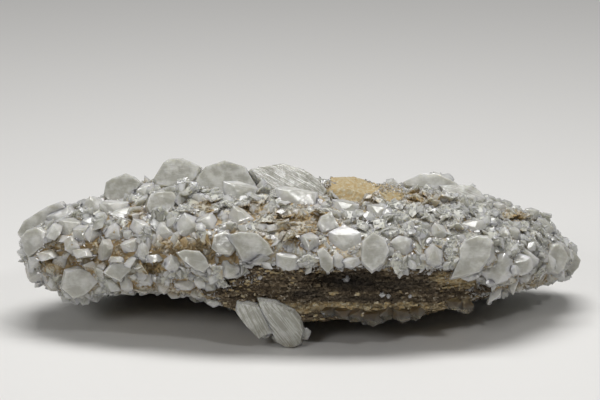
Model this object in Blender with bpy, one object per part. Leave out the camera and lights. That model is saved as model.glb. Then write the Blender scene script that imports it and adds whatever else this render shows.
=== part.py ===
"""Rhombohedral calcite: a plate of host rock crusted with flattened, intergrown rhombs.

Lengths are in millimetres in the tables and are turned into metres when a mesh is made. +X runs along
the plate, -Y is its front and +Z is up. Places on the front are given in the front view, which looks
level along +Y and 16 degrees down: a is the distance to the right of the middle and b the distance up
from the tip of the hanging blades.
"""

import math

import bmesh
import bpy
import numpy as np
from mathutils import Matrix, Vector, noise
from mathutils.bvhtree import BVHTree

MM = 0.001
GAP = 0.3
SEED = 7
BLADE_SEED = 40

# The front view
VIEW_DOWN = math.radians(16.0)
RIGHT = Vector((1.0, 0.0, 0.0))
UP = Vector((0.0, math.sin(VIEW_DOWN), math.cos(VIEW_DOWN)))
TOWARD = Vector((0.0, -math.cos(VIEW_DOWN), math.sin(VIEW_DOWN)))
BLADE_TIP = Vector((0.0, -30.0, 0.0))

# Sections across the plate. Each row has x and then y, z of six points: the low front edge, the front
# rim, the ridge, the back edge, the heel under the back, and the sole where the underside levels out.
SECTIONS = (
    (-103.0, -3.0, 25.5, -5.0, 29.5, 0.0, 34.5, 4.0, 29.5, 3.0, 26.0, 0.0, 25.5),
    (-98.0, -8.0, 19.0, -14.0, 29.0, 1.0, 38.0, 13.0, 29.0, 10.0, 19.0, 1.0, 17.5),
    (-85.0, -17.0, 14.0, -24.0, 30.0, 3.0, 43.5, 26.0, 27.0, 22.0, 8.0, 6.0, 11.0),
    (-65.0, -27.0, 20.5, -31.0, 32.0, 6.0, 48.0, 37.0, 26.0, 37.0, -1.2, 27.0, 5.0),
    (-45.0, -32.0, 22.0, -36.0, 33.0, 8.0, 53.0, 42.0, 27.0, 40.0, -1.2, 29.0, 4.0),
    (-22.0, -33.0, 16.0, -40.0, 34.0, 7.0, 54.0, 43.0, 28.0, 38.0, -1.2, 16.0, -0.8),
    (0.0, -33.0, 12.0, -41.0, 34.0, 5.0, 53.0, 43.0, 28.0, 36.0, -1.2, 7.0, -1.2),
    (25.0, -33.0, 13.5, -41.0, 34.0, 6.0, 48.5, 43.0, 27.0, 36.0, -1.2, 7.0, -1.2),
    (50.0, -30.0, 15.0, -37.0, 32.0, 8.0, 50.0, 43.0, 26.0, 37.0, -1.2, 12.0, -1.0),
    (75.0, -18.0, 17.5, -27.0, 29.0, 12.0, 42.0, 41.0, 23.0, 36.0, 2.0, 21.0, 5.0),
    (90.0, -4.0, 15.5, -12.0, 25.0, 16.0, 36.0, 37.0, 20.0, 33.0, 7.0, 19.0, 9.5),
    (99.0, 12.0, 13.5, 7.0, 21.0, 19.0, 27.0, 31.0, 18.0, 28.0, 11.5, 20.0, 11.0),
    (103.5, 18.0, 15.5, 17.0, 19.0, 21.0, 21.5, 26.0, 18.0, 24.5, 15.0, 21.0, 14.5),
)

# How the rows of points are shared out round a section
BAND = (0.0, 0.2, 0.4, 0.58, 0.77, 0.93)
FRONT_ROWS = 7
BACK_ROWS = 5
HEEL_ROWS = 2
SOLE_ROWS = 2
UNDER_ROWS = 2
ROCK_STATIONS = 33
SHEET_STATIONS = 21
KNOB_STATIONS = (7.5, 12.0, 16.5, 21.0, 25.5, 30.0, 34.5, 39.0)

# The bare band of rock along the lower front
BAND_LEFT = -24.0
BAND_RIGHT = 66.0
BAND_STEP = 3.5
BAND_LEDGES = (0.0, 1.9, -0.9, -0.4, -0.4, 1.0)
BAND_SLANT = (18.0, 15.0, 10.0, 5.0, 2.0, 0.0)
SLOT_LEFT = 6.0
SLOT_RIGHT = 44.0
SLOT_DEPTH = 7.0

# Crust over the rock, and how far it lies lower behind the ridge, where crystals stand on it
CRUST = 5.0
BACK_DROP = 2.6
BARE = -0.9
ROCK_LENGTH = 0.955

# Bare windows in the crust: a, b, half-width, half-height, and how far the rock swells there
WINDOWS = (
    (19.5, 58.0, 10.5, 5.0, 4.0),
    (31.5, 55.5, 10.0, 3.6, 2.2),
)

# Hollows in the crust: a, b, half-width, half-height, depth
HOLLOWS = (
    (-87.0, 31.5, 7.0, 4.5, 4.0),
    (-78.5, 31.5, 6.0, 4.0, 3.0),
    (-72.0, 29.5, 4.5, 7.0, 3.0),
    (-50.0, 37.0, 10.0, 4.5, 3.5),
    (-54.5, 28.5, 7.0, 4.0, 4.0),
    (-36.0, 36.5, 7.0, 5.0, 3.0),
    (-27.0, 33.0, 7.0, 3.5, 3.5),
    (-60.0, 49.0, 6.0, 5.0, 2.5),
    (-16.0, 51.5, 6.0, 4.5, 2.0),
    (-67.0, 35.0, 4.0, 6.0, 2.5),
)

# Broad crystals on the front: lean back, swing to the right, thickness, how far the middle stands out,
# and the outline in the front view as a, b.
BROAD = (
    (12.0, -18.0, 6.5, 1.0, ((-105.0, 40.5), (-102.5, 45.0), (-93.0, 51.0), (-88.0, 53.0), (-86.0, 50.5),
                             (-91.0, 45.0), (-97.5, 42.0), (-102.0, 37.0))),
    (5.0, -20.0, 6.0, 2.5, ((-102.5, 39.5), (-100.0, 42.5), (-96.0, 43.5), (-92.5, 41.5), (-93.0, 36.5),
                            (-99.5, 32.0), (-101.5, 34.5))),
    (-12.0, 5.0, 7.0, 3.0, ((-88.0, 21.5), (-86.5, 28.0), (-81.5, 29.5), (-75.0, 28.0), (-74.0, 24.0),
                            (-78.5, 19.5), (-83.5, 17.5))),
    (15.0, -10.0, 7.5, 4.0, ((-73.0, 54.0), (-72.0, 59.5), (-69.5, 61.0), (-64.0, 63.0), (-61.5, 62.0),
                             (-58.5, 59.5), (-60.0, 56.0), (-63.0, 52.5), (-69.0, 51.0))),
    (18.0, 0.0, 7.5, 4.0, ((-55.0, 60.5), (-51.0, 67.0), (-48.5, 68.5), (-43.5, 68.5), (-36.5, 65.5),
                           (-38.0, 61.0), (-40.5, 58.0), (-47.0, 57.0), (-53.5, 58.0))),
    (16.0, 0.0, 8.5, 4.5, ((-39.5, 59.0), (-38.0, 62.5), (-35.5, 65.5), (-28.0, 68.0), (-20.0, 65.5),
                           (-17.5, 61.5), (-14.0, 56.0), (-18.5, 53.5), (-25.0, 52.5), (-38.0, 55.0))),
    (20.0, 8.0, 6.5, 3.5, ((-57.0, 50.5), (-55.5, 55.0), (-52.0, 56.0), (-47.0, 56.0), (-45.0, 53.5),
                           (-46.5, 50.0), (-51.5, 45.0), (-55.0, 46.5))),
    (26.0, 0.0, 8.5, 4.0, ((-19.5, 64.0), (-7.0, 66.0), (0.0, 64.0), (4.0, 62.0), (7.5, 59.5),
                           (10.5, 56.0), (9.0, 53.0), (2.0, 51.5), (-6.0, 52.5), (-16.5, 60.0))),
    (24.0, 0.0, 6.5, 3.0, ((38.0, 59.5), (45.0, 62.5), (51.5, 62.5), (56.0, 60.5), (59.5, 58.5),
                           (57.0, 56.5), (50.5, 56.5), (39.0, 58.0))),
    (25.0, 5.0, 6.0, 2.5, ((51.5, 58.5), (59.5, 58.5), (64.0, 58.0), (67.0, 56.0), (69.5, 53.0),
                           (67.5, 50.0), (61.5, 50.5), (55.0, 53.5))),
    (4.0, 0.0, 6.5, 4.0, ((54.5, 24.5), (58.0, 32.5), (58.0, 36.0), (60.0, 39.0), (64.0, 40.5),
                          (68.5, 40.5), (70.5, 38.0), (69.5, 33.0), (65.5, 27.5), (59.5, 25.5))),
    (8.0, 0.0, 6.5, 3.5, ((-27.5, 40.5), (-22.0, 42.0), (-15.5, 41.5), (-11.5, 38.0), (-9.0, 34.0),
                          (-18.0, 30.0), (-21.0, 31.0), (-23.0, 35.0))),
    (5.0, 15.0, 6.0, 3.0, ((90.0, 31.0), (92.0, 34.5), (93.0, 37.0), (95.5, 37.5), (97.5, 36.0),
                           (99.5, 32.0), (97.5, 27.5), (95.5, 25.5), (92.0, 27.0))),
    (0.0, 25.0, 5.0, 1.0, ((99.0, 34.5), (102.0, 35.0), (105.0, 31.0), (104.0, 28.0), (101.5, 25.5),
                           (99.0, 28.5))),
    (5.0, 0.0, 5.5, 3.0, ((-45.0, 34.5), (-42.0, 35.5), (-36.5, 35.0), (-34.0, 32.5), (-32.5, 29.0),
                          (-35.0, 27.0), (-38.5, 28.5), (-42.5, 31.5))),
    (8.0, 0.0, 5.5, 3.0, ((22.5, 38.5), (26.5, 42.0), (31.0, 39.5), (32.5, 35.0), (30.5, 30.5),
                          (26.0, 27.0), (22.0, 31.0))),
    (2.0, -10.0, 5.0, 3.5, ((-31.0, 41.0), (-27.0, 42.5), (-24.0, 40.5), (-23.0, 36.5), (-25.0, 33.5),
                            (-29.5, 34.0), (-32.0, 36.0))),
    (12.0, 12.0, 4.5, 3.0, ((7.5, 47.5), (11.0, 49.0), (14.5, 43.0), (7.5, 41.0), (6.0, 44.0))),
    (0.0, 0.0, 4.5, 3.0, ((6.0, 35.0), (8.5, 36.5), (12.0, 32.5), (12.0, 29.0), (10.0, 27.0),
                          (7.5, 29.5))),
    (-3.0, 8.0, 5.0, 2.5, ((-72.0, 27.0), (-69.0, 30.5), (-62.5, 31.0), (-61.5, 28.5), (-66.0, 24.0),
                           (-69.5, 25.5))),
    (-3.0, 5.0, 3.5, 1.5, ((77.0, 26.0), (80.5, 27.0), (80.5, 24.0), (78.5, 18.5), (77.0, 21.0))),
    (-3.0, 0.0, 3.5, 1.5, ((70.5, 21.5), (73.5, 23.0), (74.5, 20.5), (73.5, 18.0), (69.0, 15.0))),
)

# Large crystals on the front, in the front view: a, b, length, width, turn of the length
# anticlockwise, lean back, swing to the right, thickness, and how far the middle stands out.
LARGE = (
    (-92.5, 33.5, 9.0, 5.5, 15.0, 50.0, 0.0, 4.0, 3.0),
    (-98.5, 27.0, 10.0, 8.5, -50.0, -15.0, -35.0, 5.0, 1.0),
    (-91.0, 24.0, 10.0, 8.0, -30.0, -22.0, -10.0, 5.0, 1.5),
    (-88.0, 47.5, 13.0, 9.5, 20.0, 32.0, -10.0, 5.0, 1.5),
    (-76.5, 50.5, 10.0, 9.0, 60.0, 15.0, 0.0, 5.0, 2.5),
    (-84.5, 43.5, 11.0, 8.0, -20.0, 28.0, 0.0, 4.5, 1.5),
    (-80.0, 41.5, 7.0, 6.0, 0.0, 18.0, 10.0, 4.0, 3.0),
    (-76.0, 41.0, 7.0, 5.0, 70.0, 10.0, 20.0, 3.5, 2.5),
    (-83.5, 37.0, 7.0, 5.5, -70.0, 10.0, 0.0, 4.0, 2.5),
    (-79.0, 34.0, 9.0, 5.5, 0.0, 62.0, 0.0, 4.5, 3.5),
    (-71.0, 35.5, 9.0, 5.0, 80.0, 5.0, 0.0, 3.5, 2.0),
    (-68.0, 41.5, 7.5, 6.5, -80.0, 15.0, 0.0, 4.0, 2.0),
    (-66.8, 31.8, 6.0, 3.0, -10.0, 55.0, 0.0, 3.0, 2.5),
    (-63.5, 23.0, 7.5, 4.5, -75.0, -15.0, 0.0, 3.5, 2.0),
    (-68.0, 50.5, 12.5, 7.5, -10.0, 30.0, 0.0, 5.0, 2.5),
    (-22.0, 56.5, 15.0, 9.0, -22.0, 30.0, 5.0, 6.0, 3.5),
    (-57.5, 56.5, 11.0, 7.5, 10.0, 28.0, 0.0, 5.0, 2.5),
    (-44.0, 53.5, 5.5, 4.0, 75.0, 12.0, 40.0, 3.0, 3.0),
    (-65.0, 48.5, 9.5, 5.5, 15.0, 40.0, 0.0, 4.0, 2.0),
    (-40.7, 44.0, 10.5, 8.5, -60.0, 20.0, 5.0, 5.0, 2.5),
    (-16.5, 32.0, 12.0, 4.0, 8.0, -28.0, 0.0, 4.0, 3.0),
    (-21.5, 47.0, 11.0, 7.5, -50.0, 28.0, 10.0, 5.0, 2.5),
    (-46.5, 30.5, 7.0, 5.5, -70.0, 5.0, 0.0, 3.5, 2.5),
    (-53.0, 32.5, 6.5, 4.0, 0.0, 45.0, 0.0, 3.0, 2.5),
    (-25.5, 28.5, 8.0, 6.5, -40.0, 0.0, 0.0, 4.5, 2.5),
    (-62.0, 37.0, 7.5, 5.0, 10.0, 20.0, 0.0, 3.5, 2.0),
    (-57.0, 34.5, 8.0, 3.8, -80.0, 0.0, 0.0, 3.0, 2.0),
    (-12.2, 29.8, 5.5, 4.2, -90.0, -5.0, 0.0, 3.0, 2.0),
    (-58.5, 43.5, 8.5, 6.0, -40.0, 28.0, 0.0, 4.0, 2.0),
    (-49.5, 42.0, 8.0, 6.0, -60.0, 25.0, 0.0, 4.0, 2.0),
    (-34.0, 45.5, 9.0, 7.0, 20.0, 32.0, 0.0, 4.5, 2.0),
    (-1.0, 54.5, 19.0, 9.0, -18.0, 34.0, 0.0, 6.0, 3.5),
    (-4.5, 31.5, 10.0, 6.5, -20.0, 10.0, 0.0, 4.0, 2.0),
    (3.5, 38.5, 7.5, 6.5, -20.0, 15.0, 0.0, 4.0, 2.5),
    (14.0, 31.5, 7.0, 3.6, -70.0, 0.0, 0.0, 3.0, 2.0),
    (16.5, 38.5, 14.0, 11.5, -15.0, 18.0, 0.0, 5.0, 2.0),
    (37.0, 37.0, 9.5, 7.0, 0.0, 15.0, 0.0, 4.0, 2.0),
    (18.5, 31.0, 7.5, 3.5, 5.0, 10.0, 0.0, 3.0, 2.0),
    (16.5, 50.5, 12.0, 8.0, -25.0, 35.0, 0.0, 5.0, 2.0),
    (28.5, 49.5, 9.0, 6.0, -20.0, 35.0, 0.0, 4.0, 2.0),
    (68.5, 52.5, 8.0, 5.5, -30.0, 25.0, 0.0, 4.0, 2.0),
    (74.0, 51.0, 5.5, 4.0, -20.0, 20.0, 0.0, 3.0, 2.0),
    (63.0, 44.0, 12.0, 5.5, 5.0, 38.0, 0.0, 4.0, 2.0),
    (75.0, 40.0, 8.0, 4.0, 90.0, 10.0, 0.0, 3.0, 2.0),
    (78.8, 41.0, 6.5, 4.5, 90.0, 15.0, 0.0, 3.0, 2.0),
    (72.5, 28.5, 13.5, 10.5, 30.0, 0.0, 5.0, 5.0, 2.0),
    (81.0, 30.0, 10.5, 7.5, -10.0, 0.0, 12.0, 4.5, 2.5),
    (48.5, 33.0, 9.0, 6.5, -75.0, 5.0, 0.0, 4.0, 2.0),
    (50.5, 42.0, 7.5, 5.5, -60.0, 25.0, 0.0, 4.0, 2.0),
    (39.7, 43.7, 5.5, 4.5, 30.0, 20.0, 0.0, 3.0, 2.0),
    (84.0, 32.5, 10.0, 4.5, -40.0, 10.0, 15.0, 3.5, 2.5),
    (92.0, 30.0, 7.0, 5.0, -80.0, 0.0, -20.0, 4.0, 4.0),
    (93.5, 26.0, 7.5, 5.0, -30.0, -25.0, 10.0, 4.0, 2.0),
    (91.7, 43.5, 9.5, 5.5, -45.0, 20.0, 20.0, 4.0, 2.0),
    (87.0, 48.5, 6.5, 4.5, -20.0, 25.0, 10.0, 3.5, 2.0),
    (97.3, 36.0, 6.0, 4.0, -40.0, 15.0, 20.0, 3.0, 1.5),
    (74.9, 20.3, 6.0, 3.0, -75.0, 0.0, 0.0, 2.6, 1.0),
    (82.8, 25.3, 6.0, 3.6, 20.0, 0.0, 10.0, 3.0, 1.5),
    (-41.5, 22.8, 9.0, 4.0, 5.0, 10.0, 0.0, 3.0, 1.5),
    (-32.5, 22.5, 6.0, 4.0, 10.0, 10.0, 0.0, 3.0, 1.5),
    (-56.0, 24.5, 6.0, 4.0, 20.0, 5.0, 0.0, 3.0, 1.5),
    (-31.2, 17.3, 6.5, 5.5, -80.0, -5.0, 0.0, 3.5, 1.0),
    (-26.2, 14.5, 6.0, 3.2, -80.0, -5.0, 0.0, 3.0, 1.0),
)

# The pair of blades that hangs under the front edge: y of the middle, lean back, swing to the right,
# thickness, and the outline in the front view.
BLADES = (
    (-33.6, -26.0, 4.0, 4.4, ((-23.0, 17.0), (-18.5, 16.5), (-15.0, 15.5), (-12.0, 11.5), (-9.5, 5.0),
                              (-13.0, 4.5), (-15.0, 3.0), (-20.5, 9.0), (-23.5, 13.0))),
    (-33.2, -28.0, -4.0, 5.2, ((-15.5, 18.0), (-9.0, 17.0), (-2.0, 13.5), (0.5, 10.5), (1.5, 6.0),
                               (0.5, 1.5), (-2.0, 0.0), (-5.0, 0.0), (-8.5, 2.0), (-14.5, 14.0))),
)

# The fringes of small crystals right of the blades: a, b of the middle and y, then length, width,
# turn, lean back, swing to the right and thickness.
FRINGE_LEFT = (
    (10.5, 12.8, -34.2, 6.5, 3.6, 8.0, 4.0, 0.0, 3.5),
    (15.5, 12.3, -34.2, 8.5, 4.5, -12.0, 4.0, 0.0, 4.0),
    (20.5, 11.6, -34.2, 8.0, 5.5, 14.0, -8.0, 0.0, 4.5),
    (26.3, 10.8, -34.2, 9.5, 6.0, -5.0, 5.0, 0.0, 5.0),
    (31.2, 12.0, -33.7, 7.5, 5.0, 30.0, -6.0, 0.0, 4.5),
    (36.8, 11.9, -33.2, 8.5, 5.5, -20.0, 6.0, 0.0, 4.5),
    (42.0, 12.4, -32.4, 8.0, 5.0, 18.0, -4.0, 8.0, 4.5),
)
FRINGE_RIGHT = (
    (56.8, 15.4, -29.4, 7.5, 4.6, -12.0, 6.0, 5.0, 4.4),
    (60.8, 14.8, -28.6, 6.5, 5.4, -40.0, -6.0, 8.0, 4.6),
)

# Medium crystals scattered between the large ones and over the back and the ends
MEDIUM_COUNT = 185
MEDIUM_LENGTH = (6.0, 10.5)
BACK_LENGTH = (8.0, 14.0)
BACK_START = 14.0
BACK_LIMIT = 44.5
MEDIUM_FRONT = 1.5
CRUST_DETAIL = 0.55
MEDIUM_APART = 6.0

# The outline that the scattered crystals stay inside in the front view: a, lowest b, highest b
OUTLINE = (
    (-105.0, 30.0, 40.5),
    (-103.0, 26.0, 44.5),
    (-93.5, 20.5, 51.0),
    (-88.0, 17.5, 52.5),
    (-80.5, 18.0, 54.0),
    (-75.0, 21.5, 55.0),
    (-71.5, 20.5, 60.0),
    (-67.0, 20.5, 62.5),
    (-58.5, 20.5, 61.0),
    (-55.0, 20.5, 61.5),
    (-51.5, 21.0, 66.5),
    (-47.0, 22.0, 68.5),
    (-40.5, 20.0, 67.5),
    (-36.5, 17.0, 65.5),
    (-28.5, 13.0, 67.5),
    (-21.0, 12.0, 65.5),
    (-9.0, 0.0, 66.0),
    (0.0, 0.0, 64.0),
    (5.5, 8.0, 61.0),
    (10.5, 8.0, 57.5),
    (13.0, 8.0, 59.5),
    (21.5, 8.0, 61.5),
    (25.5, 8.0, 58.5),
    (37.5, 9.0, 58.5),
    (42.0, 9.5, 61.5),
    (51.5, 13.0, 63.0),
    (57.0, 13.5, 60.5),
    (70.0, 16.0, 55.5),
    (75.0, 18.0, 53.0),
    (88.0, 22.0, 50.5),
    (94.0, 24.0, 44.5),
    (101.0, 25.5, 35.5),
    (105.0, 28.0, 31.0),
)

# Shape of one crystal: the share of its height where the apex is cut flat and the length from which it
# is cut. A broad crystal's rim closes in by a taper, its apex stands at a share of its thickness from
# the middle, and its low faces have a slope.
APEX_CUT = 0.62
CUT_LENGTH = 8.0
RIM_TAPER = 0.9
APEX_HEIGHT = 0.52
FACE_SLOPE = (0.08, 0.15)


def clear_scene():
    for obj in list(bpy.data.objects):
        bpy.data.objects.remove(obj, do_unlink=True)


def material(name, colour, roughness, transmission=0.0):
    mat = bpy.data.materials.new(name)
    mat.use_nodes = True
    shader = mat.node_tree.nodes["Principled BSDF"]
    shader.inputs["Base Color"].default_value = (*colour, 1.0)
    shader.inputs["Roughness"].default_value = roughness
    shader.inputs["Transmission Weight"].default_value = transmission
    shader.inputs["IOR"].default_value = 1.6
    return mat


def place_in_view(point):
    """The a, b of a point in the front view."""
    seen = point - BLADE_TIP
    return seen.dot(RIGHT), seen.dot(UP)


def smooth_window(a, b, window):
    """1 in the middle of an elliptical window in the front view, 0 outside it."""
    across = (a - window[0]) / window[2]
    along = (b - window[1]) / window[3]
    return max(0.0, 1.0 - across * across - along * along)


def arc(start, end, count, level_first):
    """Points from start to end along a quarter of an ellipse, without the last."""
    points = []
    for step in range(count):
        angle = 0.5 * math.pi * step / count
        if level_first:
            along, rise = math.sin(angle), 1.0 - math.cos(angle)
        else:
            along, rise = 1.0 - math.cos(angle), math.sin(angle)
        y = start[0] + (end[0] - start[0]) * along
        z = start[1] + (end[1] - start[1]) * rise
        points.append((y, z))
    return points


def straight(start, end, count):
    """Points from start to end along a line, without the last."""
    shares = [step / count for step in range(count)]
    return [
        (start[0] + (end[0] - start[0]) * share, start[1] + (end[1] - start[1]) * share)
        for share in shares
    ]


def band_share(x, row=len(BAND) - 1):
    """1 where the lower front is bare rock, 0 at both ends of the plate; wider in the lower rows."""
    left = BAND_LEFT - BAND_SLANT[row]
    right = BAND_RIGHT + 0.5 * BAND_SLANT[row]
    rise = np.interp(x, (left - 3.0, left + 3.0), (0.0, 1.0))
    fall = np.interp(x, (right - 3.0, right + 3.0), (1.0, 0.0))
    return float(rise * fall)


def section(x):
    """The outline of the crust's base sheet at x, as (y, z) from the low front edge over the top."""
    table = np.array(SECTIONS)
    values = [float(np.interp(x, table[:, 0], table[:, k])) for k in range(1, 13)]
    low, front, ridge, back, heel, sole = [
        (values[k], values[k + 1]) for k in range(0, 12, 2)
    ]
    rim = 1.6 * noise.noise(Vector((x / 8.0, 3.0, 0.0))) * band_share(x)
    front = (front[0], front[1] + rim)
    outline = []
    for share in BAND:
        inward = BAND_STEP * band_share(x) * min(1.0, 5.0 * share)
        y = low[0] + (front[0] - low[0]) * share + inward
        outline.append((y, low[1] + (front[1] - low[1]) * share))
    outline += arc(front, ridge, FRONT_ROWS, False)
    outline += arc(ridge, back, BACK_ROWS, True)
    outline += straight(back, heel, HEEL_ROWS)
    outline += straight(heel, sole, SOLE_ROWS)
    outline += straight(sole, low, UNDER_ROWS)
    return outline


def bare_amount(x, row, point):
    """Whether the rock is bare at a point of the base sheet, and how far it swells or dips."""
    top_row = len(BAND) + FRONT_ROWS
    back_row = top_row + BACK_ROWS
    if row < len(BAND) and band_share(x, row) > 0.5:
        offset = BAND_LEDGES[row]
        if row in (3, 4):
            slot = np.interp(
                x,
                (SLOT_LEFT - 3.0, SLOT_LEFT + 2.0, SLOT_RIGHT - 12.0, SLOT_RIGHT),
                (0.0, 1.0, 0.6, 0.0),
            )
            offset -= SLOT_DEPTH * float(slot)
        return True, offset
    if row >= back_row + 1 and -76.0 < x < 84.0:
        return True, 0.0
    if row <= top_row:
        a, b = place_in_view(point)
        for window in WINDOWS:
            inside = smooth_window(a, b, window)
            if inside > 0.0:
                return True, window[4] * math.sqrt(inside)
    return False, 0.0


def rough(point, size, depth):
    return depth * noise.noise(point / size)


def lump_point(x, row, outline, is_rock, grow=0.0):
    """One point of the base sheet, or of the rock that lies under it."""
    y, z = outline[row]
    centre = Vector((x, *np.mean(outline, axis=0)))
    point = Vector((x, y, z))
    outward = (point - centre).normalized()
    reach = (point - centre).length
    bare, swell = bare_amount(x, row, point)
    a, b = place_in_view(point)
    if row <= len(BAND) + FRONT_ROWS:
        for hollow in HOLLOWS:
            swell -= hollow[4] * smooth_window(a, b, hollow) * (0.0 if bare else 1.0)
    behind = (row - len(BAND) - FRONT_ROWS) / BACK_ROWS
    if 0.0 < behind < 1.0:
        swell -= BACK_DROP * math.sin(math.pi * behind)
    swell += rough(point, 14.0, 1.3)
    if is_rock:
        depth = BARE if bare else min(CRUST, 0.42 * reach)
        swell -= depth
        if bare:
            swell += rough(point, 5.0, 0.9)
    elif bare:
        swell = min(swell, 0.0)
    point += outward * (swell + grow)
    point.z = max(point.z, 0.0 if is_rock else 0.6)
    if is_rock:
        point.x *= ROCK_LENGTH
    return point


def stations(count):
    """Places along the plate, closer together at its ends and at the ochre knob."""
    table = np.array(SECTIONS)
    middle = 0.5 * (table[0, 0] + table[-1, 0])
    half = 0.5 * (table[-1, 0] - table[0, 0])
    turns = (np.linspace(0.0, 1.0, count) - 0.5) * math.pi * 0.86
    places = [float(middle + half * math.sin(turn) / math.sin(0.43 * math.pi)) for turn in turns]
    apart = [x for x in places if min(abs(x - knob) for knob in KNOB_STATIONS) > 2.5]
    return sorted(apart + list(KNOB_STATIONS))


def lump(is_rock):
    """The closed lump of the rock, or of the base sheet before the rock is taken out of it."""
    body = bmesh.new()
    rings = []
    for x in stations(ROCK_STATIONS if is_rock else SHEET_STATIONS):
        outline = section(x)
        points = [lump_point(x, row, outline, is_rock) for row in range(len(outline))]
        rings.append([body.verts.new(point * MM) for point in points])
    loft(body, rings)
    bmesh.ops.recalc_face_normals(body, faces=body.faces)
    bmesh.ops.triangulate(body, faces=body.faces)
    return body


def crystal(body, centre, axes, length, width, thickness):
    """Add one flattened rhomb: a cube on its corner, squashed along its upright diagonal."""
    rhomb = bmesh.new()
    bmesh.ops.create_cube(rhomb, size=1.0)
    upright = Vector((1.0, 1.0, 1.0)).rotation_difference(Vector((0.0, 0.0, 1.0)))
    stretch = Matrix.Diagonal((length / 1.633, width / 1.414, thickness / 1.732)).to_4x4()
    bmesh.ops.transform(
        rhomb, matrix=stretch @ upright.to_matrix().to_4x4(), verts=rhomb.verts
    )
    for side in (1.0, -1.0):
        if length >= CUT_LENGTH:
            bmesh.ops.bisect_plane(
                rhomb,
                geom=rhomb.verts[:] + rhomb.edges[:] + rhomb.faces[:],
                plane_co=(0.0, 0.0, side * 0.5 * thickness * APEX_CUT),
                plane_no=(0.0, 0.0, side),
                clear_outer=True,
            )
            bmesh.ops.holes_fill(rhomb, edges=rhomb.edges, sides=0)
    turn = Matrix((axes[0], axes[1], axes[2])).transposed().to_4x4()
    place = Matrix.Translation(centre * MM) @ turn @ Matrix.Scale(MM, 4)
    bmesh.ops.transform(rhomb, matrix=place, verts=rhomb.verts)
    add_to(body, rhomb)


def add_to(body, piece):
    """Move one closed piece into a body that holds many."""
    bmesh.ops.recalc_face_normals(piece, faces=piece.faces)
    mesh = bpy.data.meshes.new("piece")
    piece.to_mesh(mesh)
    piece.free()
    body.from_mesh(mesh)
    bpy.data.meshes.remove(mesh)


def loft(body, rings):
    """Join rings of vertices into a tube with its two ends closed."""
    for left, right in zip(rings, rings[1:]):
        for row in range(len(left)):
            after = (row + 1) % len(left)
            body.faces.new((left[row], right[row], right[after], left[after]))
    body.faces.new(reversed(rings[0]))
    body.faces.new(rings[-1])


def broad_crystal(body, centre, outline, lean, swing, thickness, seed):
    """Add one broad crystal: its outline as a slab, cut by three low rhomb faces on each side."""
    random = np.random.default_rng(seed)
    along, across, broad = facing(0.0, lean, swing)
    mid_a, mid_b = np.mean(outline, axis=0)
    slab = bmesh.new()
    ring = []
    for a, b in outline:
        offset = RIGHT * (a - mid_a) + UP * (b - mid_b)
        offset -= TOWARD * (offset.dot(broad) / TOWARD.dot(broad))
        ring.append(slab.verts.new(offset))
    middle = slab.faces.new(ring)
    reach = min(vert.co.length for vert in ring)
    for side in (1.0, -1.0):
        made = bmesh.ops.extrude_face_region(slab, geom=[middle])["geom"]
        top = next(item for item in made if isinstance(item, bmesh.types.BMFace))
        bmesh.ops.translate(slab, vec=broad * side * 0.5 * thickness, verts=top.verts)
        bmesh.ops.scale(slab, vec=(RIM_TAPER,) * 3, verts=top.verts)
    bmesh.ops.delete(slab, geom=[middle], context="FACES_ONLY")
    bmesh.ops.recalc_face_normals(slab, faces=slab.faces)
    apex = (along * random.uniform(-0.35, 0.35) + across * random.uniform(-0.35, 0.35)) * reach
    first = random.uniform(0.0, 2.0 * math.pi)
    for step in range(6):
        side = 1.0 if step < 3 else -1.0
        turn = first + step * 2.0 * math.pi / 3.0 + (0.5 + 0.5 * side) * math.pi
        slope = random.uniform(*FACE_SLOPE)
        outward = (along * math.cos(turn) + across * math.sin(turn)) * slope
        bmesh.ops.bisect_plane(
            slab,
            geom=slab.verts[:] + slab.edges[:] + slab.faces[:],
            plane_co=apex * side + broad * side * APEX_HEIGHT * thickness,
            plane_no=(broad * side + outward).normalized(),
            clear_outer=True,
        )
        bmesh.ops.holes_fill(slab, edges=slab.edges, sides=0)
    bmesh.ops.scale(slab, vec=(MM,) * 3, verts=slab.verts)
    bmesh.ops.translate(slab, vec=centre * MM, verts=slab.verts)
    add_to(body, slab)


def facing(turn, lean, swing):
    """Axes of a crystal seen in the front view: its length, its width and its broad face."""
    along = RIGHT * math.cos(math.radians(turn)) + UP * math.sin(math.radians(turn))
    across = UP * math.cos(math.radians(turn)) - RIGHT * math.sin(math.radians(turn))
    tilt = Matrix.Rotation(math.radians(swing), 3, UP) @ Matrix.Rotation(
        math.radians(lean), 3, -RIGHT
    )
    return tilt @ along, tilt @ across, tilt @ TOWARD


def front_point(tree, a, b):
    """Where the front view's line through a, b first meets the base sheet, or its rim beside it."""
    for pull in (0.0, 0.03, 0.06, 0.1, 0.15, 0.2, 0.3):
        aim_a = a * (1.0 - pull * 0.5)
        aim_b = b + (30.0 - b) * pull
        start = BLADE_TIP + RIGHT * aim_a + UP * aim_b + TOWARD * 200.0
        hit = tree.ray_cast(start * MM, -TOWARD)
        if hit[0] is not None:
            depth = (hit[0] / MM - BLADE_TIP).dot(TOWARD)
            return BLADE_TIP + RIGHT * a + UP * b + TOWARD * depth
    raise ValueError(f"nothing behind {a}, {b}")


def large_crystals(body, tree):
    places = []
    for index, (lean, swing, thickness, out, outline) in enumerate(BROAD):
        a, b = np.mean(outline, axis=0)
        centre = front_point(tree, a, b) + TOWARD * (out - 0.5 * thickness)
        broad_crystal(body, centre, outline, lean, swing, thickness, index)
        places.append((centre, 0.35 * float(np.ptp(outline, axis=0).sum())))
    for a, b, length, width, turn, lean, swing, thickness, out in LARGE:
        centre = front_point(tree, a, b) + TOWARD * (out - 0.5 * thickness)
        axes = facing(turn, lean, swing)
        crystal(body, centre, axes, length, width, thickness)
        places.append((centre, 0.5 * max(length, width)))
    return places


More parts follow.
